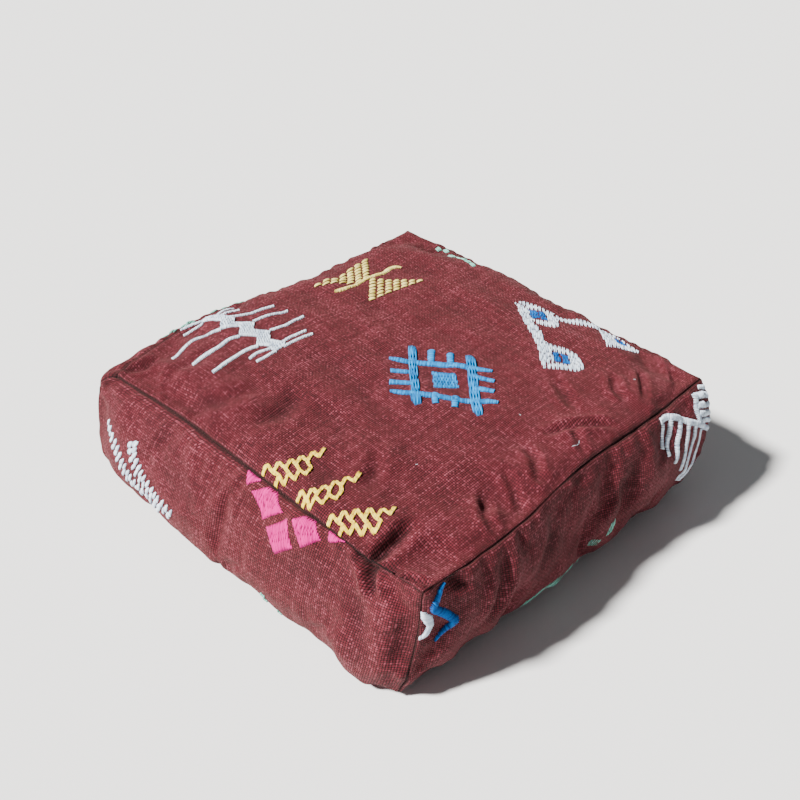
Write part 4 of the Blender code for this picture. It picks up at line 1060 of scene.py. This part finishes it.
# %% The blue fence and its square, on the top
fence_posts = [
    [(-31, 22), (-27, 29), (-21, 28), (78, -62), (75, -70), (66, -67)],
    [(40, 64), (43, 71), (50, 71), (148, -16), (146, -25), (136, -23)],
]
fence_rails = [
    ([(-26, -18), (-14, -10), (30, 21), (78, 54), (91, 64)], [6, 11, 11.5, 11, 6]),
    ([(30, -71), (42, -63), (88, -28), (134, 7), (146, 16)], [6, 11, 11.5, 11, 6]),
]
fence_ticks = [
    [(0, 37), (20, 17)], [(26, 48), (47, 28)],
    [(75, -31), (91, -47)], [(97, -13), (113, -33)],
    [(-4, -38), (20, -16)], [(16, -58), (40, -36)],
    [(84, 34), (110, 48)], [(100, 17), (126, 31)],
]
work = [threads_across([post], (-0.744, 0.668), 0.0019, 0.036) for post in fence_posts]
work += [ribbon(path, widths, 0.0017) for path, widths in fence_rails]
work += [ribbon(tick, [11, 9], 0.0017) for tick in fence_ticks]
stitched("fence_stitches", "top", np.concatenate(work), sky_yarn, ["blue_fence"], 0.0026, 0.0018, 0.0012)
work = threads_across([[(34, 5), (61, 23), (84, 6), (64, -22)]], UPWARD, 0.0020, 0.013)
stitched("fence_square_stitches", "top", work, sky_yarn, ["blue_fence_square"], 0.0027, 0.0017, 0.0006)

# %% The white figure with many legs
spine = [
    (-285, -137), (-283, -124), (-269, -118), (-246, -112), (-237, -110), (-230, -119), (-215, -102),
    (-210, -98), (-200, -111), (-181, -96), (-167, -110), (-147, -100), (-140, -107), (-138, -122),
    (-143, -128), (-154, -125), (-166, -136), (-182, -120), (-198, -138), (-214, -122), (-230, -143),
    (-244, -129),
]
legs = [
    ([(-264, -118), (-272, -98), (-276, -82)], 5.0), ([(-256, -117), (-257, -86)], 5.0),
    ([(-243, -114), (-238, -101), (-234, -76), (-231, -48)], 6.0),
    ([(-214, -99), (-214, -83), (-211, -64), (-208, -43)], 6.0),
    ([(-182, -97), (-177, -78), (-180, -56), (-182, -37)], 6.2),
    ([(-148, -103), (-149, -61)], 6.2), ([(-139, -110), (-136, -60)], 6.2),
    ([(-148, -127), (-152, -142), (-152, -163)], 6.4), ([(-138, -125), (-137, -144), (-138, -162)], 6.4),
    ([(-285, -136), (-291, -153), (-296, -168)], 6.0), ([(-277, -136), (-280, -156), (-281, -174)], 6.4),
    ([(-231, -141), (-240, -157), (-243, -172), (-246, -198), (-242, -228)], 8.0),
    ([(-198, -137), (-204, -152), (-203, -173), (-206, -198), (-206, -222)], 8.0),
    ([(-164, -134), (-169, -156), (-170, -183), (-167, -220)], 8.0),
]
work = [threads_across([spine], UPWARD, 0.0018, 0.012)]
work += [ribbon(path, width * 0.86, 0.0024, 0.45) for path, width in legs]
work = np.concatenate(work)
stitched("many_legs_stitches", "top", work, white_yarn, ["white_many_legs"], 0.0026, 0.0021, 0.0009)

# %% The cream butterfly
def wing(near, far, tip, columns, long):
    """Columns of plump stitches between the two straight edges of a wing, fewer towards its tip."""
    made = []
    near, far, tip = (np.asarray(corner, float) for corner in (near, far, tip))
    for column in range(columns):
        share = column / columns
        low, high = near + (tip - near) * share, far + (tip - far) * share
        number = max(round(np.linalg.norm(high - low) / 9.5), 1)
        across = (tip - (near + far) / 2) / np.linalg.norm(tip - (near + far) / 2)
        for k in range(number):
            middle = low + (high - low) * (k + 0.5) / number
            for strand in (-1.8, 0.0, 1.8):
                lean = (high - low) / np.linalg.norm(high - low) * strand
                start = middle + lean - across * long * 0.40
                made.append((start, start + across * long * 0.82))
    made = np.array(made) * MM
    return made + jitter(len(made) * 2, 0.0004).reshape(-1, 2, 2)


wings = [
    wing((-257, 152), (-203, 101), (-246, 28), 7, 15.5),
    wing((-201, 112), (-156, 68), (-142, 172), 7, 13.5),
]
body_line = [
    (-210, 44), (-207, 52), (-206, 71), (-206, 88), (-208, 111),
    (-206, 126), (-205, 139), (-208, 154), (-204, 167), (-197, 171),
]
body_width = [6, 10, 6.5, 6, 7, 7.5, 7, 10, 7, 3]
work = np.concatenate(wings + [ribbon(body_line, body_width, 0.0021, 0.5)])
stitched("butterfly_stitches", "top", work, cream_yarn, ["cream_butterfly"], 0.0027, 0.0022, 0.0010)

# %% The white band with its blue squares
band = [
    (
        [
            (-7, 226), (35, 195), (77, 168), (105, 147), (133, 119), (134, 139),
            (117, 156), (92, 177), (70, 193), (46, 204), (12, 232),
        ],
    ),
    (
        [
            (12, 232), (-5, 229), (0, 240), (14, 245), (33, 247), (49, 250),
            (61, 243), (84, 224), (82, 213), (70, 207), (55, 203), (44, 206),
        ],
        [(19, 228), (40, 240), (62, 223), (43, 207)],
    ),
    (
        [
            (52, 249), (62, 251), (83, 261), (104, 275), (119, 288),
            (126, 272), (114, 259), (92, 249), (70, 239),
        ],
    ),
    (
        [
            (94, 176), (107, 180), (121, 186), (136, 188), (146, 188), (174, 167),
            (172, 150), (153, 135), (134, 121), (134, 139), (117, 156),
        ],
        [(115, 164), (136, 177), (153, 160), (137, 143)],
    ),
    (
        [(122, 276), (126, 288), (145, 290), (168, 287), (196, 283), (186, 255), (172, 239), (163, 232)],
        [(146, 284), (158, 287), (176, 279), (164, 270)],
    ),
]
work = [threads_across(outlines, UPWARD, 0.0020, 0.020, 0.0060, 0.0060) for outlines in band]
work = np.concatenate(work)
stitched("band_stitches", "top", work, white_yarn, ["white_diamond_band"], 0.0024, 0.0020, 0.0004)

# %% Two columns of deeper blue in each diamond
band_squares = [
    ([(19, 228), (29, 235), (47, 221), (42, 208)], [(32, 236), (41, 239), (61, 223), (52, 217)]),
    ([(116, 164), (122, 171), (141, 153), (137, 144)], [(126, 172), (136, 175), (152, 161), (146, 152)]),
    ([(147, 283), (153, 286), (166, 277), (160, 273)], [(156, 286), (163, 286), (175, 279), (169, 275)]),
]
for number, columns in enumerate(band_squares, 1):
    work = np.concatenate([threads_across([column], UPWARD, 0.0021, 0.016) for column in columns])
    name, node = f"band_square_{number}_stitches", f"blue_band_square_{number}"
    stitched(name, "top", work, deep_blue_yarn, [node], 0.0024, 0.0017)

# %% [markdown]
# ## Three yellow combs
# A comb is a lattice two rows wide that steps away from the front seam. Its strokes run along and
# across the weave: an upright stroke at each place, a stroke from its top to the foot of the next,
# and a stroke that ties the short row to the long one. Each stroke is three strands of two short
# stitches, which gives the knotted look.

# %% Where the upright strokes stand
comb_places = [
    (
        [(14, -289), (25, -278), (34, -264), (39, -250), (45, -235), (52, -220)],
        [(38, -291), (47, -282), (55, -269), (61, -254)],
    ),
    (
        [(79, -289), (90, -279), (97, -266), (102, -251), (108, -236), (115, -220)],
        [(91, -291), (103, -286), (113, -273), (120, -257)],
    ),
    (
        [(137, -290), (145, -277), (154, -266), (165, -254), (176, -244), (184, -230)],
        [(157, -291), (165, -280), (177, -270), (188, -259)],
    ),
]
HALF_STROKE = np.array([-2.2, 7.4])  # from the middle of an upright stroke to its top

# %% Work the combs
for number, rows in enumerate(comb_places, 1):
    long_row, short_row = (np.asarray(row, float) for row in rows)
    strokes = [(place - HALF_STROKE, place + HALF_STROKE) for place in (*long_row, *short_row)]
    for row in (long_row, short_row):
        strokes += [(here + HALF_STROKE, there - HALF_STROKE) for here, there in zip(row, row[1:])]
    strokes += [(low - HALF_STROKE, high + HALF_STROKE) for low, high in zip(long_row[1:], short_row)]
    work = []
    for low, high in strokes:
        ahead = (high - low) / np.linalg.norm(high - low)
        side = np.array([-ahead[1], ahead[0]])
        middle = (low + high) / 2
        for strand in (-1.5, 0.0, 1.5):
            work.append([low - ahead + side * strand, middle + ahead + side * strand])
            work.append([middle - ahead + side * strand, high + ahead + side * strand])
    work = np.clip(np.array(work) * MM, 0.0015 - HALF, HALF - 0.0015)  # none crosses the seam
    work += jitter(len(work) * 2, 0.0003).reshape(-1, 2, 2)
    name, node = f"comb_{number}_stitches", f"yellow_comb_{number}"
    stitched(name, "top", work, yellow_yarn, [node], 0.0025, 0.0022, 0.0008)

# %% [markdown]
# ## The motifs on the sides
# A side's flat pattern has x along it, from its middle, and y up from the floor. The pink blocks
# hang from the front's top seam, where their threads run up and down, and the zigzags beside them
# are worked in short plump stitches in two columns.

# %% Pink blocks at the top of the front
pink_blocks = [
    [(-9, 193), (19, 193), (10, 178)],
    [(21, 176), (34, 192), (48, 193), (78, 178), (54, 154)],
    [(65, 150), (90, 176), (112, 146), (90, 125)],
    [(97, 180), (107, 192), (122, 193), (143, 176), (123, 153)],
    [(144, 193), (172, 193), (166, 189), (154, 179)],
]
for number, block in enumerate(pink_blocks, 1):
    work = threads_across([block], (-0.45, 1), 0.0018, 0.020)
    name, node = f"pink_block_{number}_stitches", f"pink_block_{number}"
    stitched(name, "front", work, pink_yarn, [node], 0.0027, 0.0013)

# %% Two white zigzags
zigzag_lines = {
    "outer": [
        (-255, 125), (-243, 119), (-232, 108), (-219, 96), (-211, 86),
        (-201, 80), (-192, 73), (-168, 66), (-142, 62), (-123, 61),
    ],
    "inner": [
        (-192, 133), (-190, 115), (-181, 104), (-171, 95), (-159, 89),
        (-147, 84), (-135, 76), (-116, 74), (-96, 70),
    ],
}
for name, line in zigzag_lines.items():
    work = [staggered(line, 0.0046, offset, 0.0062, (0.35, 1)) for offset in (0.0032, 0.0060)]
    work = np.concatenate(work)
    node = f"white_zigzag_{name}"
    stitched(f"zigzag_{name}_stitches", "front", work, white_yarn, [node], 0.0052, 0.0028)

# %% The right side's fans of ribbed stripes
fan_lines = [
    ([(174, 184), (192, 183), (207, 176), (224, 163), (244, 149), (270, 131), (294, 112)], 9),
    ([(179, 180), (172, 164), (164, 150)], 8.5),
    ([(196, 178), (186, 161), (174, 147), (171, 136)], 8.5),
    ([(212, 171), (195, 147), (184, 118)], 8.5),
    ([(225, 161), (211, 136), (208, 92)], 8.5),
    ([(236, 150), (226, 126), (227, 80), (236, 52)], 8.5),
    ([(252, 138), (247, 104), (246, 77), (246, 46)], 8.5),
    ([(262, 184), (253, 172), (249, 158), (252, 142)], 9),
    ([(262, 181), (294, 171)], 10),
    ([(255, 171), (296, 154)], 9),
    ([(253, 160), (296, 140)], 9),
    ([(254, 149), (295, 128)], 9),
    ([(280, 187), (295, 181)], 7),
]
work = np.concatenate([ribbon(path, width, 0.0021) for path, width in fan_lines])
stitched("fan_stitches", "right", work, white_yarn, ["white_striped_fans"], 0.0024, 0.0020, 0.0006)

# %% The blue zigzag and the white chevron, by the near corner
blue_line = [
    (-261, 185), (-269, 178), (-277, 169), (-281, 162), (-277, 155), (-268, 147),
    (-255, 133), (-250, 126), (-255, 120), (-263, 113), (-272, 101),
]
work = ribbon(blue_line, [4, 9, 12, 12, 12, 12, 12, 12, 10, 8, 3], 0.0015, 0.25)
stitched("blue_zigzag_stitches", "right", work, deep_blue_yarn, ["blue_zigzag"], 0.0023, 0.0024, 0.0014)
petals = [
    ([(-296, 158), (-289, 147), (-281, 128)], [5, 14, 9]),
    ([(-280, 131), (-287, 124), (-296, 116)], [9, 13, 5]),
]
work = np.concatenate([ribbon(path, widths, 0.0015, 0.6) for path, widths in petals])
stitched("chevron_stitches", "right", work, white_yarn, ["white_chevron"], 0.0022, 0.0022, 0.0010)

# %% [markdown]
# ## Small mint motifs near the edges
# Steps and a row of teeth low on the right are worked in thin threads that leave the cloth showing
# between them. The leaves are a few plump knots each, of three strands.

# %% Steps and teeth on the right
steps = [
    [(60, 82), (80, 78), (80, 60), (60, 62)],
    [(34, 66), (54, 60), (52, 48), (32, 50)],
    [(8, 50), (26, 46), (22, 38), (6, 40)],
]
work = np.concatenate([threads_across([step], (0.15, 1), 0.0036, 0.007) for step in steps])
stitched("mint_right_stitches", "right", work, mint_yarn, ["mint_steps_right"], 0.0015, 0.0013)
x = np.arange(-88, -6, 4)
low_ends = np.stack([x, 30 + 4 * np.sin(x * 0.09)], -1)
high_ends = np.stack([x + 3, 38 + 4.5 * ((x + 90) / 7 % 4)], -1)
work = np.stack([low_ends, high_ends], 1) * MM
stitched("mint_low_stitches", "right", work, mint_yarn, ["mint_steps_low"], 0.0015, 0.0013)

# %% Leaves of plump knots
def leaf(name, panel, node, spots, way, half_long=4.5):
    """Three strands side by side along way at each of a few places."""
    way = np.asarray(way, float) / np.linalg.norm(way)
    side = np.array([-way[1], way[0]])
    strands = side * np.array([-2.4, 0, 2.4])[:, None]
    middles = (np.asarray(spots, float)[:, None] + strands).reshape(-1, 2)
    work = np.stack([middles - way * half_long, middles + way * half_long], 1) * MM
    work += jitter(len(work) * 2, 0.0004).reshape(-1, 2, 2)
    stitched(name, panel, work, mint_yarn, [node], 0.0032, 0.0026)


leaf_places = {
    ("top", "back"): (
        [
            (-213, 281), (-201, 287), (-179, 277), (-171, 264),
            (-160, 271), (-149, 268), (-138, 265), (-126, 262),
        ],
        (1, -0.2),
        5.5,
    ),
    ("left", "corner"): ([(180, 184), (167, 187), (148, 188), (138, 190)], (1, 0.1), 5),
    ("left", "left"): ([(93, 188), (79, 190), (69, 188), (58, 191), (49, 189)], (1, 0), 4),
    ("front", "front"): ([(75, 46), (77, 38), (100, 30)], (0.4, 1), 4),
}
for (panel, corner), (spots, way, half_long) in leaf_places.items():
    leaf(f"mint_{corner}_stitches", panel, f"mint_leaf_{corner}", spots, way, half_long)

# %% [markdown]
# ## Inside the cover
# A cotton bag holds the loose fibre, so that the cover can be washed. Both follow the cover's
# inside, so their skins are smaller copies of the settled form. Nothing of them shows while the
# cover is closed.

# %% A bake map for the settled form: six squares on a sheet of nine
squares = []
for number, name in enumerate(PANELS):
    rows, columns = form[name].shape[:2]
    share = np.stack(np.meshgrid(np.linspace(0, 1, rows), np.linspace(0, 1, columns), indexing="ij"), -1)
    squares.append(((share * 0.94 + 0.03 + (number % 3, number // 3)) / 3).reshape(-1, 2))
squares = np.concatenate(squares)
print("bake map:", squares.min(0).round(3), "to", squares.max(0).round(3))

# %% A smaller copy of the settled form
CORE = np.array([0, 0, 0.1])  # the middle of the cushion, towards which the inner skins are smaller


def inner_skin(name, node, size, material):
    """A closed skin of the settled form's shape, drawn in towards the core."""
    piece = mesh_of(name, CORE + (welded - CORE) * size, welded_faces)
    layer = piece.data.uv_layers.new(name="OFBake")
    layer.data.foreach_set("uv", squares[faces].astype(np.float32).ravel())
    piece.data.materials.append(material)
    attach(piece, "cushion")
    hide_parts(node)
    print(name, len(piece.data.polygons), "faces")


# %% Cotton and loose fibre
def plain_cotton(name):
    """A fine noise blends two pale shades, and the peaks of a coarser one are darker flecks of seed."""
    n = Nodes(name)
    place = n.add("ShaderNodeTexCoord", output=3)
    fine_weave = n.noise(place, 1600.0, 1.0, 0.5)
    fleck = n.spread(n.noise(place, 420.0, 2.0, 0.6), 0.66, 0.72)
    colour = n.mix(fine_weave, tone(206, 194, 168), tone(232, 224, 202))
    n.put(n.shader.inputs["Base Color"], n.mix(fleck, colour, tone(150, 120, 84)))
    n.shader.inputs["Roughness"].default_value = 0.9
    n.put(n.shader.inputs["Normal"], n.add("ShaderNodeBump", {"Height": fine_weave, "Distance": 0.0003}))
    return n.material


def loose_fibre(name):
    """A noise drawn out into strands blends two near-whites, and raises a deep bump."""
    n = Nodes(name)
    place = n.add("ShaderNodeTexCoord", output=3)
    tangle = n.noise(n.stretch(place, (1.0, 3.0, 1.0)), 240.0, 5.0, 0.7)
    n.put(n.shader.inputs["Base Color"], n.mix(tangle, tone(204, 204, 200), tone(246, 246, 242)))
    n.shader.inputs["Roughness"].default_value = 0.95
    n.shader.inputs["Sheen Weight"].default_value = 0.3
    n.put(n.shader.inputs["Normal"], n.add("ShaderNodeBump", {"Height": tangle, "Distance": 0.002}))
    return n.material


# %% The cotton bag and the fibre filling
inner_skin("cotton_bag", "inner_bag", (0.935, 0.935, 0.80), plain_cotton("bag_cotton_weave"))
inner_skin("loose_filling", "fibre_filling", (0.920, 0.920, 0.76), loose_fibre("loose_fibre"))

# %% [markdown]
# ## The zip
# A nylon coil zip: two coils of stiff thread sewn to woven tapes, a metal slider that pulls their
# loops together, and stops at both ends. The engineering model's tapes, stops, slider and pull have
# their true shapes and stay. Its coils are plain bars, so real loops take their place.

# %% The line of a coil, and rings round it
COIL_PITCH = 0.0016  # metres from loop to loop
COIL_THREAD = 0.00028  # the thread's radius
STEPS_ROUND = 10  # points of the line in each loop


def coil_points(node, sign):
    """A helix round a line along X, flattened to fill the node's box, with six-sided rings round it."""
    low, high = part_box(node)
    middle_y, reach_y = (low.y + high.y) / 2, (high.y - low.y) / 2 - COIL_THREAD
    middle_z, reach_z = (low.z + high.z) / 2, (high.z - low.z) / 2 - COIL_THREAD
    turns = (high.x - low.x - 2 * COIL_THREAD) / COIL_PITCH
    t = np.linspace(0, turns * 2 * math.pi, int(turns * STEPS_ROUND) + 1)
    x = low.x + COIL_THREAD + t / (2 * math.pi) * COIL_PITCH
    line = np.stack([x, middle_y + reach_y * np.cos(t), middle_z + sign * reach_z * np.sin(t)], -1)
    ahead = np.gradient(line, axis=0)
    ahead /= np.linalg.norm(ahead, axis=1, keepdims=True)
    beside = np.cross(ahead, [1.0, 0.0, 0.0])
    beside /= np.linalg.norm(beside, axis=1, keepdims=True)
    above = np.cross(beside, ahead)
    turn = (np.arange(ROUND) * 2 * math.pi / ROUND)[:, None]
    return line[:, None] + COIL_THREAD * (beside[:, None] * np.cos(turn) + above[:, None] * np.sin(turn))


# %% A bake map for a long thread
def coil_tiles(rings):
    """The unrolled thread in 40 rows, one above the other, and its two ends in a corner."""
    rows = 40
    in_row = rings // rows + 1
    ring, side = np.meshgrid(np.arange(rings - 1), np.arange(ROUND), indexing="ij")
    ring, side = ring.ravel(), side.ravel()
    place = np.stack([ring % in_row / in_row, ring // in_row / rows], -1)
    quad = np.array([[0, 0], [1, 0], [1, 1], [0, 1]]) * (0.9 * rows / rings, 0.14 / rows)
    tiles = place[:, None] + quad[None] + np.stack([side * 0, side * 0.15 / rows], -1)[:, None]
    turn = np.arange(ROUND) * 2 * math.pi / ROUND
    order = [0, 1, 2, 3, 0, 3, 4, 5, 3, 2, 1, 0, 5, 4, 3, 0]
    ends = np.stack([np.cos(turn), np.sin(turn)], -1)[order]
    return np.concatenate([np.clip(tiles.reshape(-1, 2), 0, 0.98), 0.992 + 0.004 * ends])


# %% One coil as a piece
def coil(name, node, sign):
    """A capped tube along the coil's line, in place of the engineering model's plain bar."""
    points = coil_points(node, sign)
    piece = mesh_of(name, points, tube_faces(len(points)))
    layer = piece.data.uv_layers.new(name="OFBake")
    layer.data.foreach_set("uv", coil_tiles(len(points)).astype(np.float32).ravel())
    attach(piece, "cushion")
    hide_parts(node)
    print(name, len(piece.data.polygons), "faces")
    return piece


# %% [markdown]
# ## Nylon, tape and brass
# Dyed nylon is smooth and a little glossy. The tapes are woven close, so a slanting rib shows rather
# than single threads. The slider, pull and stops are cast brass, brighter where fingers rub them.
# None of these needs a map: their patterns are small and have no direction to follow, so they read
# the pieces' own coordinates.

# %% Nylon
def nylon(name):
    """A noise blends two close shades, and makes the gloss a little rougher where it is paler."""
    n = Nodes(name)
    place = n.add("ShaderNodeTexCoord", output=3)
    uneven_dye = n.noise(place, 260.0, 2.0, 0.5)
    n.put(n.shader.inputs["Base Color"], n.mix(uneven_dye, tone(58, 20, 24), tone(96, 42, 44)))
    n.put(n.shader.inputs["Roughness"], n.spread(uneven_dye, 0.2, 0.8, 0.34, 0.5))
    n.put(n.shader.inputs["Normal"], n.add("ShaderNodeBump", {"Height": uneven_dye, "Distance": 0.0001}))
    return n.material


# %% Woven tape
def tape_weave(name):
    """A rib that leans one way and then the other across the tape, blurred by fine fibres."""
    n = Nodes(name)
    place = n.add("ShaderNodeTexCoord", output=3)
    parts = n.tree.nodes.new("ShaderNodeSeparateXYZ")
    n.put(parts.inputs[0], place)
    lean = n.maths("ADD", parts.outputs[0], n.maths("PINGPONG", parts.outputs[2], 0.002))
    rib = n.maths("PINGPONG", n.maths("MULTIPLY", lean, 1400.0), 1.0)
    fibre = n.noise(place, 900.0, 2.0, 0.6)
    shade = n.maths("MULTIPLY", n.maths("ADD", rib, fibre), 0.5)
    colour = n.mix(shade, tone(40, 10, 14), tone(104, 44, 46))
    n.put(n.shader.inputs["Base Color"], colour)
    n.shader.inputs["Roughness"].default_value = 0.85
    n.put(n.shader.inputs["Normal"], n.add("ShaderNodeBump", {"Height": rib, "Distance": 0.0003}))
    return n.material


# %% Cast brass
def worn_brass(name):
    """Brass that a slow noise makes brighter and duller in patches, with fine scratches along X."""
    n = Nodes(name)
    place = n.add("ShaderNodeTexCoord", output=3)
    wear = n.noise(place, 180.0, 4.0, 0.6)
    scratch = n.noise(n.stretch(place, (1.0, 6.0, 6.0)), 700.0, 2.0, 0.6)
    n.put(n.shader.inputs["Base Color"], n.mix(wear, tone(140, 104, 56), tone(214, 176, 108)))
    n.put(n.shader.inputs["Roughness"], n.spread(scratch, 0.2, 0.8, 0.22, 0.46))
    n.put(n.shader.inputs["Normal"], n.add("ShaderNodeBump", {"Height": scratch, "Distance": 0.00008}))
    n.shader.inputs["Metallic"].default_value = 1.0
    return n.material


# %% The coils, and finishes for the parts that keep their shape
coil_nylon, brass, tape = nylon("coil_nylon"), worn_brass("worn_brass"), tape_weave("tape_weave")
for name, sign in (("lower", -1), ("upper", 1)):
    piece = coil(f"coil_loops_{name}", f"zip_coil_{name}", sign)
    piece.data.materials.append(coil_nylon)
finish_of = {"zip_tape": tape, "zip_coil": coil_nylon, "zip_metal": brass}
for name, node in frame["nodes"].items():
    if SLOT_OF[name] in finish_of and not name.startswith("zip_coil"):
        for place in node.material_slots:
            place.material = finish_of[SLOT_OF[name]]
        print(name, "keeps its shape with", finish_of[SLOT_OF[name]].name)

# %% [markdown]
# ## Running stitch and lint
# Two rows of running stitch hold the zip's tapes. They are drawn at two heights on the back's flat
# pattern. The back's seams sit 6 to 8 mm high while the zip stays fixed, and that carries both rows
# up: the lower one ends at the slot's lower edge, where the slider touches it, and the upper one
# lies over a centimetre above the slot. A few ends of white thread have stayed on the top since it
# was worked. Both are the same padded stitches as the motifs, only thinner.

# %% Two rows of running stitch
cover_thread = yarn("cover_thread", tone(40, 10, 14), tone(92, 34, 38), tone(140, 74, 74))
run = np.arange(-218, 218, 4.2)
ROW_HEIGHTS = (92.0, 115.0)  # on the flat pattern, in millimetres
work = []
for height in ROW_HEIGHTS:
    starts_at = np.stack([run, np.full_like(run, height)], -1)
    work.append(np.stack([starts_at, starts_at + (3.0, 0.0)], 1))
work = np.concatenate(work) * MM
stitched("zip_stitching", "back", work, cover_thread, [], 0.0009, 0.0009)

# %% A few stray threads
lint = [
    [(268, 20), (271, 27), (270, 35), (266, 40)],
    [(236, 196), (239, 198)],
    [(180, 20), (183, 19)],
    [(150, -150), (152, -147)],
]
work = [[path[k : k + 2] for k in range(len(path) - 1)] for path in lint]
work = np.array([stitch for path in work for stitch in path], float) * MM
stitched("stray_threads", "top", work, white_yarn, [], 0.0006, 0.0006)

# %% [markdown]
# ## The floor
# A pale matt floor lies just under the cushion, so that the two never share a plane. It reaches far
# enough for its edge to look like a horizon.

# %% The floor
FLOOR_REACH, FLOOR_DROP = 20.0, 0.0004
square = [(-1, -1), (1, -1), (1, 1), (-1, 1)]
floor_corners = [(x * FLOOR_REACH, y * FLOOR_REACH, -FLOOR_DROP) for x, y in square]
floor_mesh = mesh_of("floor", floor_corners, [(0, 1, 2, 3)])
n = Nodes("pale_floor")
n.shader.inputs["Base Color"].default_value = (0.82, 0.82, 0.82, 1)
n.shader.inputs["Roughness"].default_value = 0.9
floor_mesh.data.materials.append(n.material)
floor_mesh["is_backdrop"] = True
print("floor", 2 * FLOOR_REACH, "m square")

# %% [markdown]
# ## Light
# One large, slightly warm sun stands high over the near left side, so that each fold and stitch
# throws a soft shadow. A dim sky fills the shadows. Two lights are easy to follow, and they suit
# every side that the cushion is seen from.

# %% A soft sun and a dim sky
sun_data = bpy.data.lights.new("sun", "SUN")
sun_data.energy = 14.0
sun_data.angle = math.radians(7)
sun_data.color = (1.0, 0.975, 0.94)
sun = bpy.data.objects.new("sun", sun_data)
bpy.context.scene.collection.objects.link(sun)
toward = (-0.28, -0.66, 0.70)
sun.rotation_mode = "QUATERNION"
sun.rotation_quaternion = Vector(toward).to_track_quat("Z", "Y")
world = bpy.context.scene.world or bpy.data.worlds.new("world")
bpy.context.scene.world = world
world.use_nodes = True
sky = world.node_tree.nodes["Background"]
sky.inputs[0].default_value = (0.95, 0.97, 1.0, 1)
sky.inputs[1].default_value = 0.18
print("sun", sun_data.energy, "sky", round(sky.inputs[1].default_value, 2))

# %% [markdown]
# ## The camera
# The cushion is seen from above its near corner. The camera turns about a point in the cushion's
# middle: round it, then up, and then it leans a little to one side. Its matrix is built from three
# directions at right angles, so each of those turns is one plain number.

# %% The camera's three directions
AZIMUTH, ELEVATION, ROLL = math.radians(41.95), math.radians(36.77), math.radians(3.42)
DISTANCE = 1.8058  # from the point that the camera is turned to
SHIFT = (-0.0109, 0.0462)  # how far the camera is moved right and up from straight behind that point
LOOK_AT = np.array([0, 0, 0.1])
level = math.cos(ELEVATION)
back_way = np.array([math.sin(AZIMUTH) * level, -math.cos(AZIMUTH) * level, math.sin(ELEVATION)])
level_right = np.cross(-back_way, UP)
level_right /= np.linalg.norm(level_right)
level_up = np.cross(level_right, -back_way)
right_way = math.cos(ROLL) * level_right + math.sin(ROLL) * level_up
up_way = -math.sin(ROLL) * level_right + math.cos(ROLL) * level_up
print("camera's right", right_way.round(3), "and up", up_way.round(3))

# %% Place the camera
matrix = np.eye(4)
matrix[:3, 0] = right_way
matrix[:3, 1] = up_way
matrix[:3, 2] = back_way
matrix[:3, 3] = LOOK_AT + back_way * DISTANCE + right_way * SHIFT[0] + up_way * SHIFT[1]
camera_data = bpy.data.cameras.new("camera")
camera = bpy.data.objects.new("camera", camera_data)
bpy.context.scene.collection.objects.link(camera)
bpy.context.scene.camera = camera
camera.matrix_world = Matrix(matrix.tolist())
camera_data.lens = 54.2
camera_data.clip_start = 0.05
print("camera at", matrix[:3, 3].round(3))

# %% [markdown]
# The box of everything visible, the floor left out, is measured and printed. The same measure now
# gives the box of everything visible, which has to stay close to it.

# %% Print the box of everything visible and finish
bpy.context.view_layer.update()
low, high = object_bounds()
print("visual box", [round(v, 4) for v in (*low, *high)])
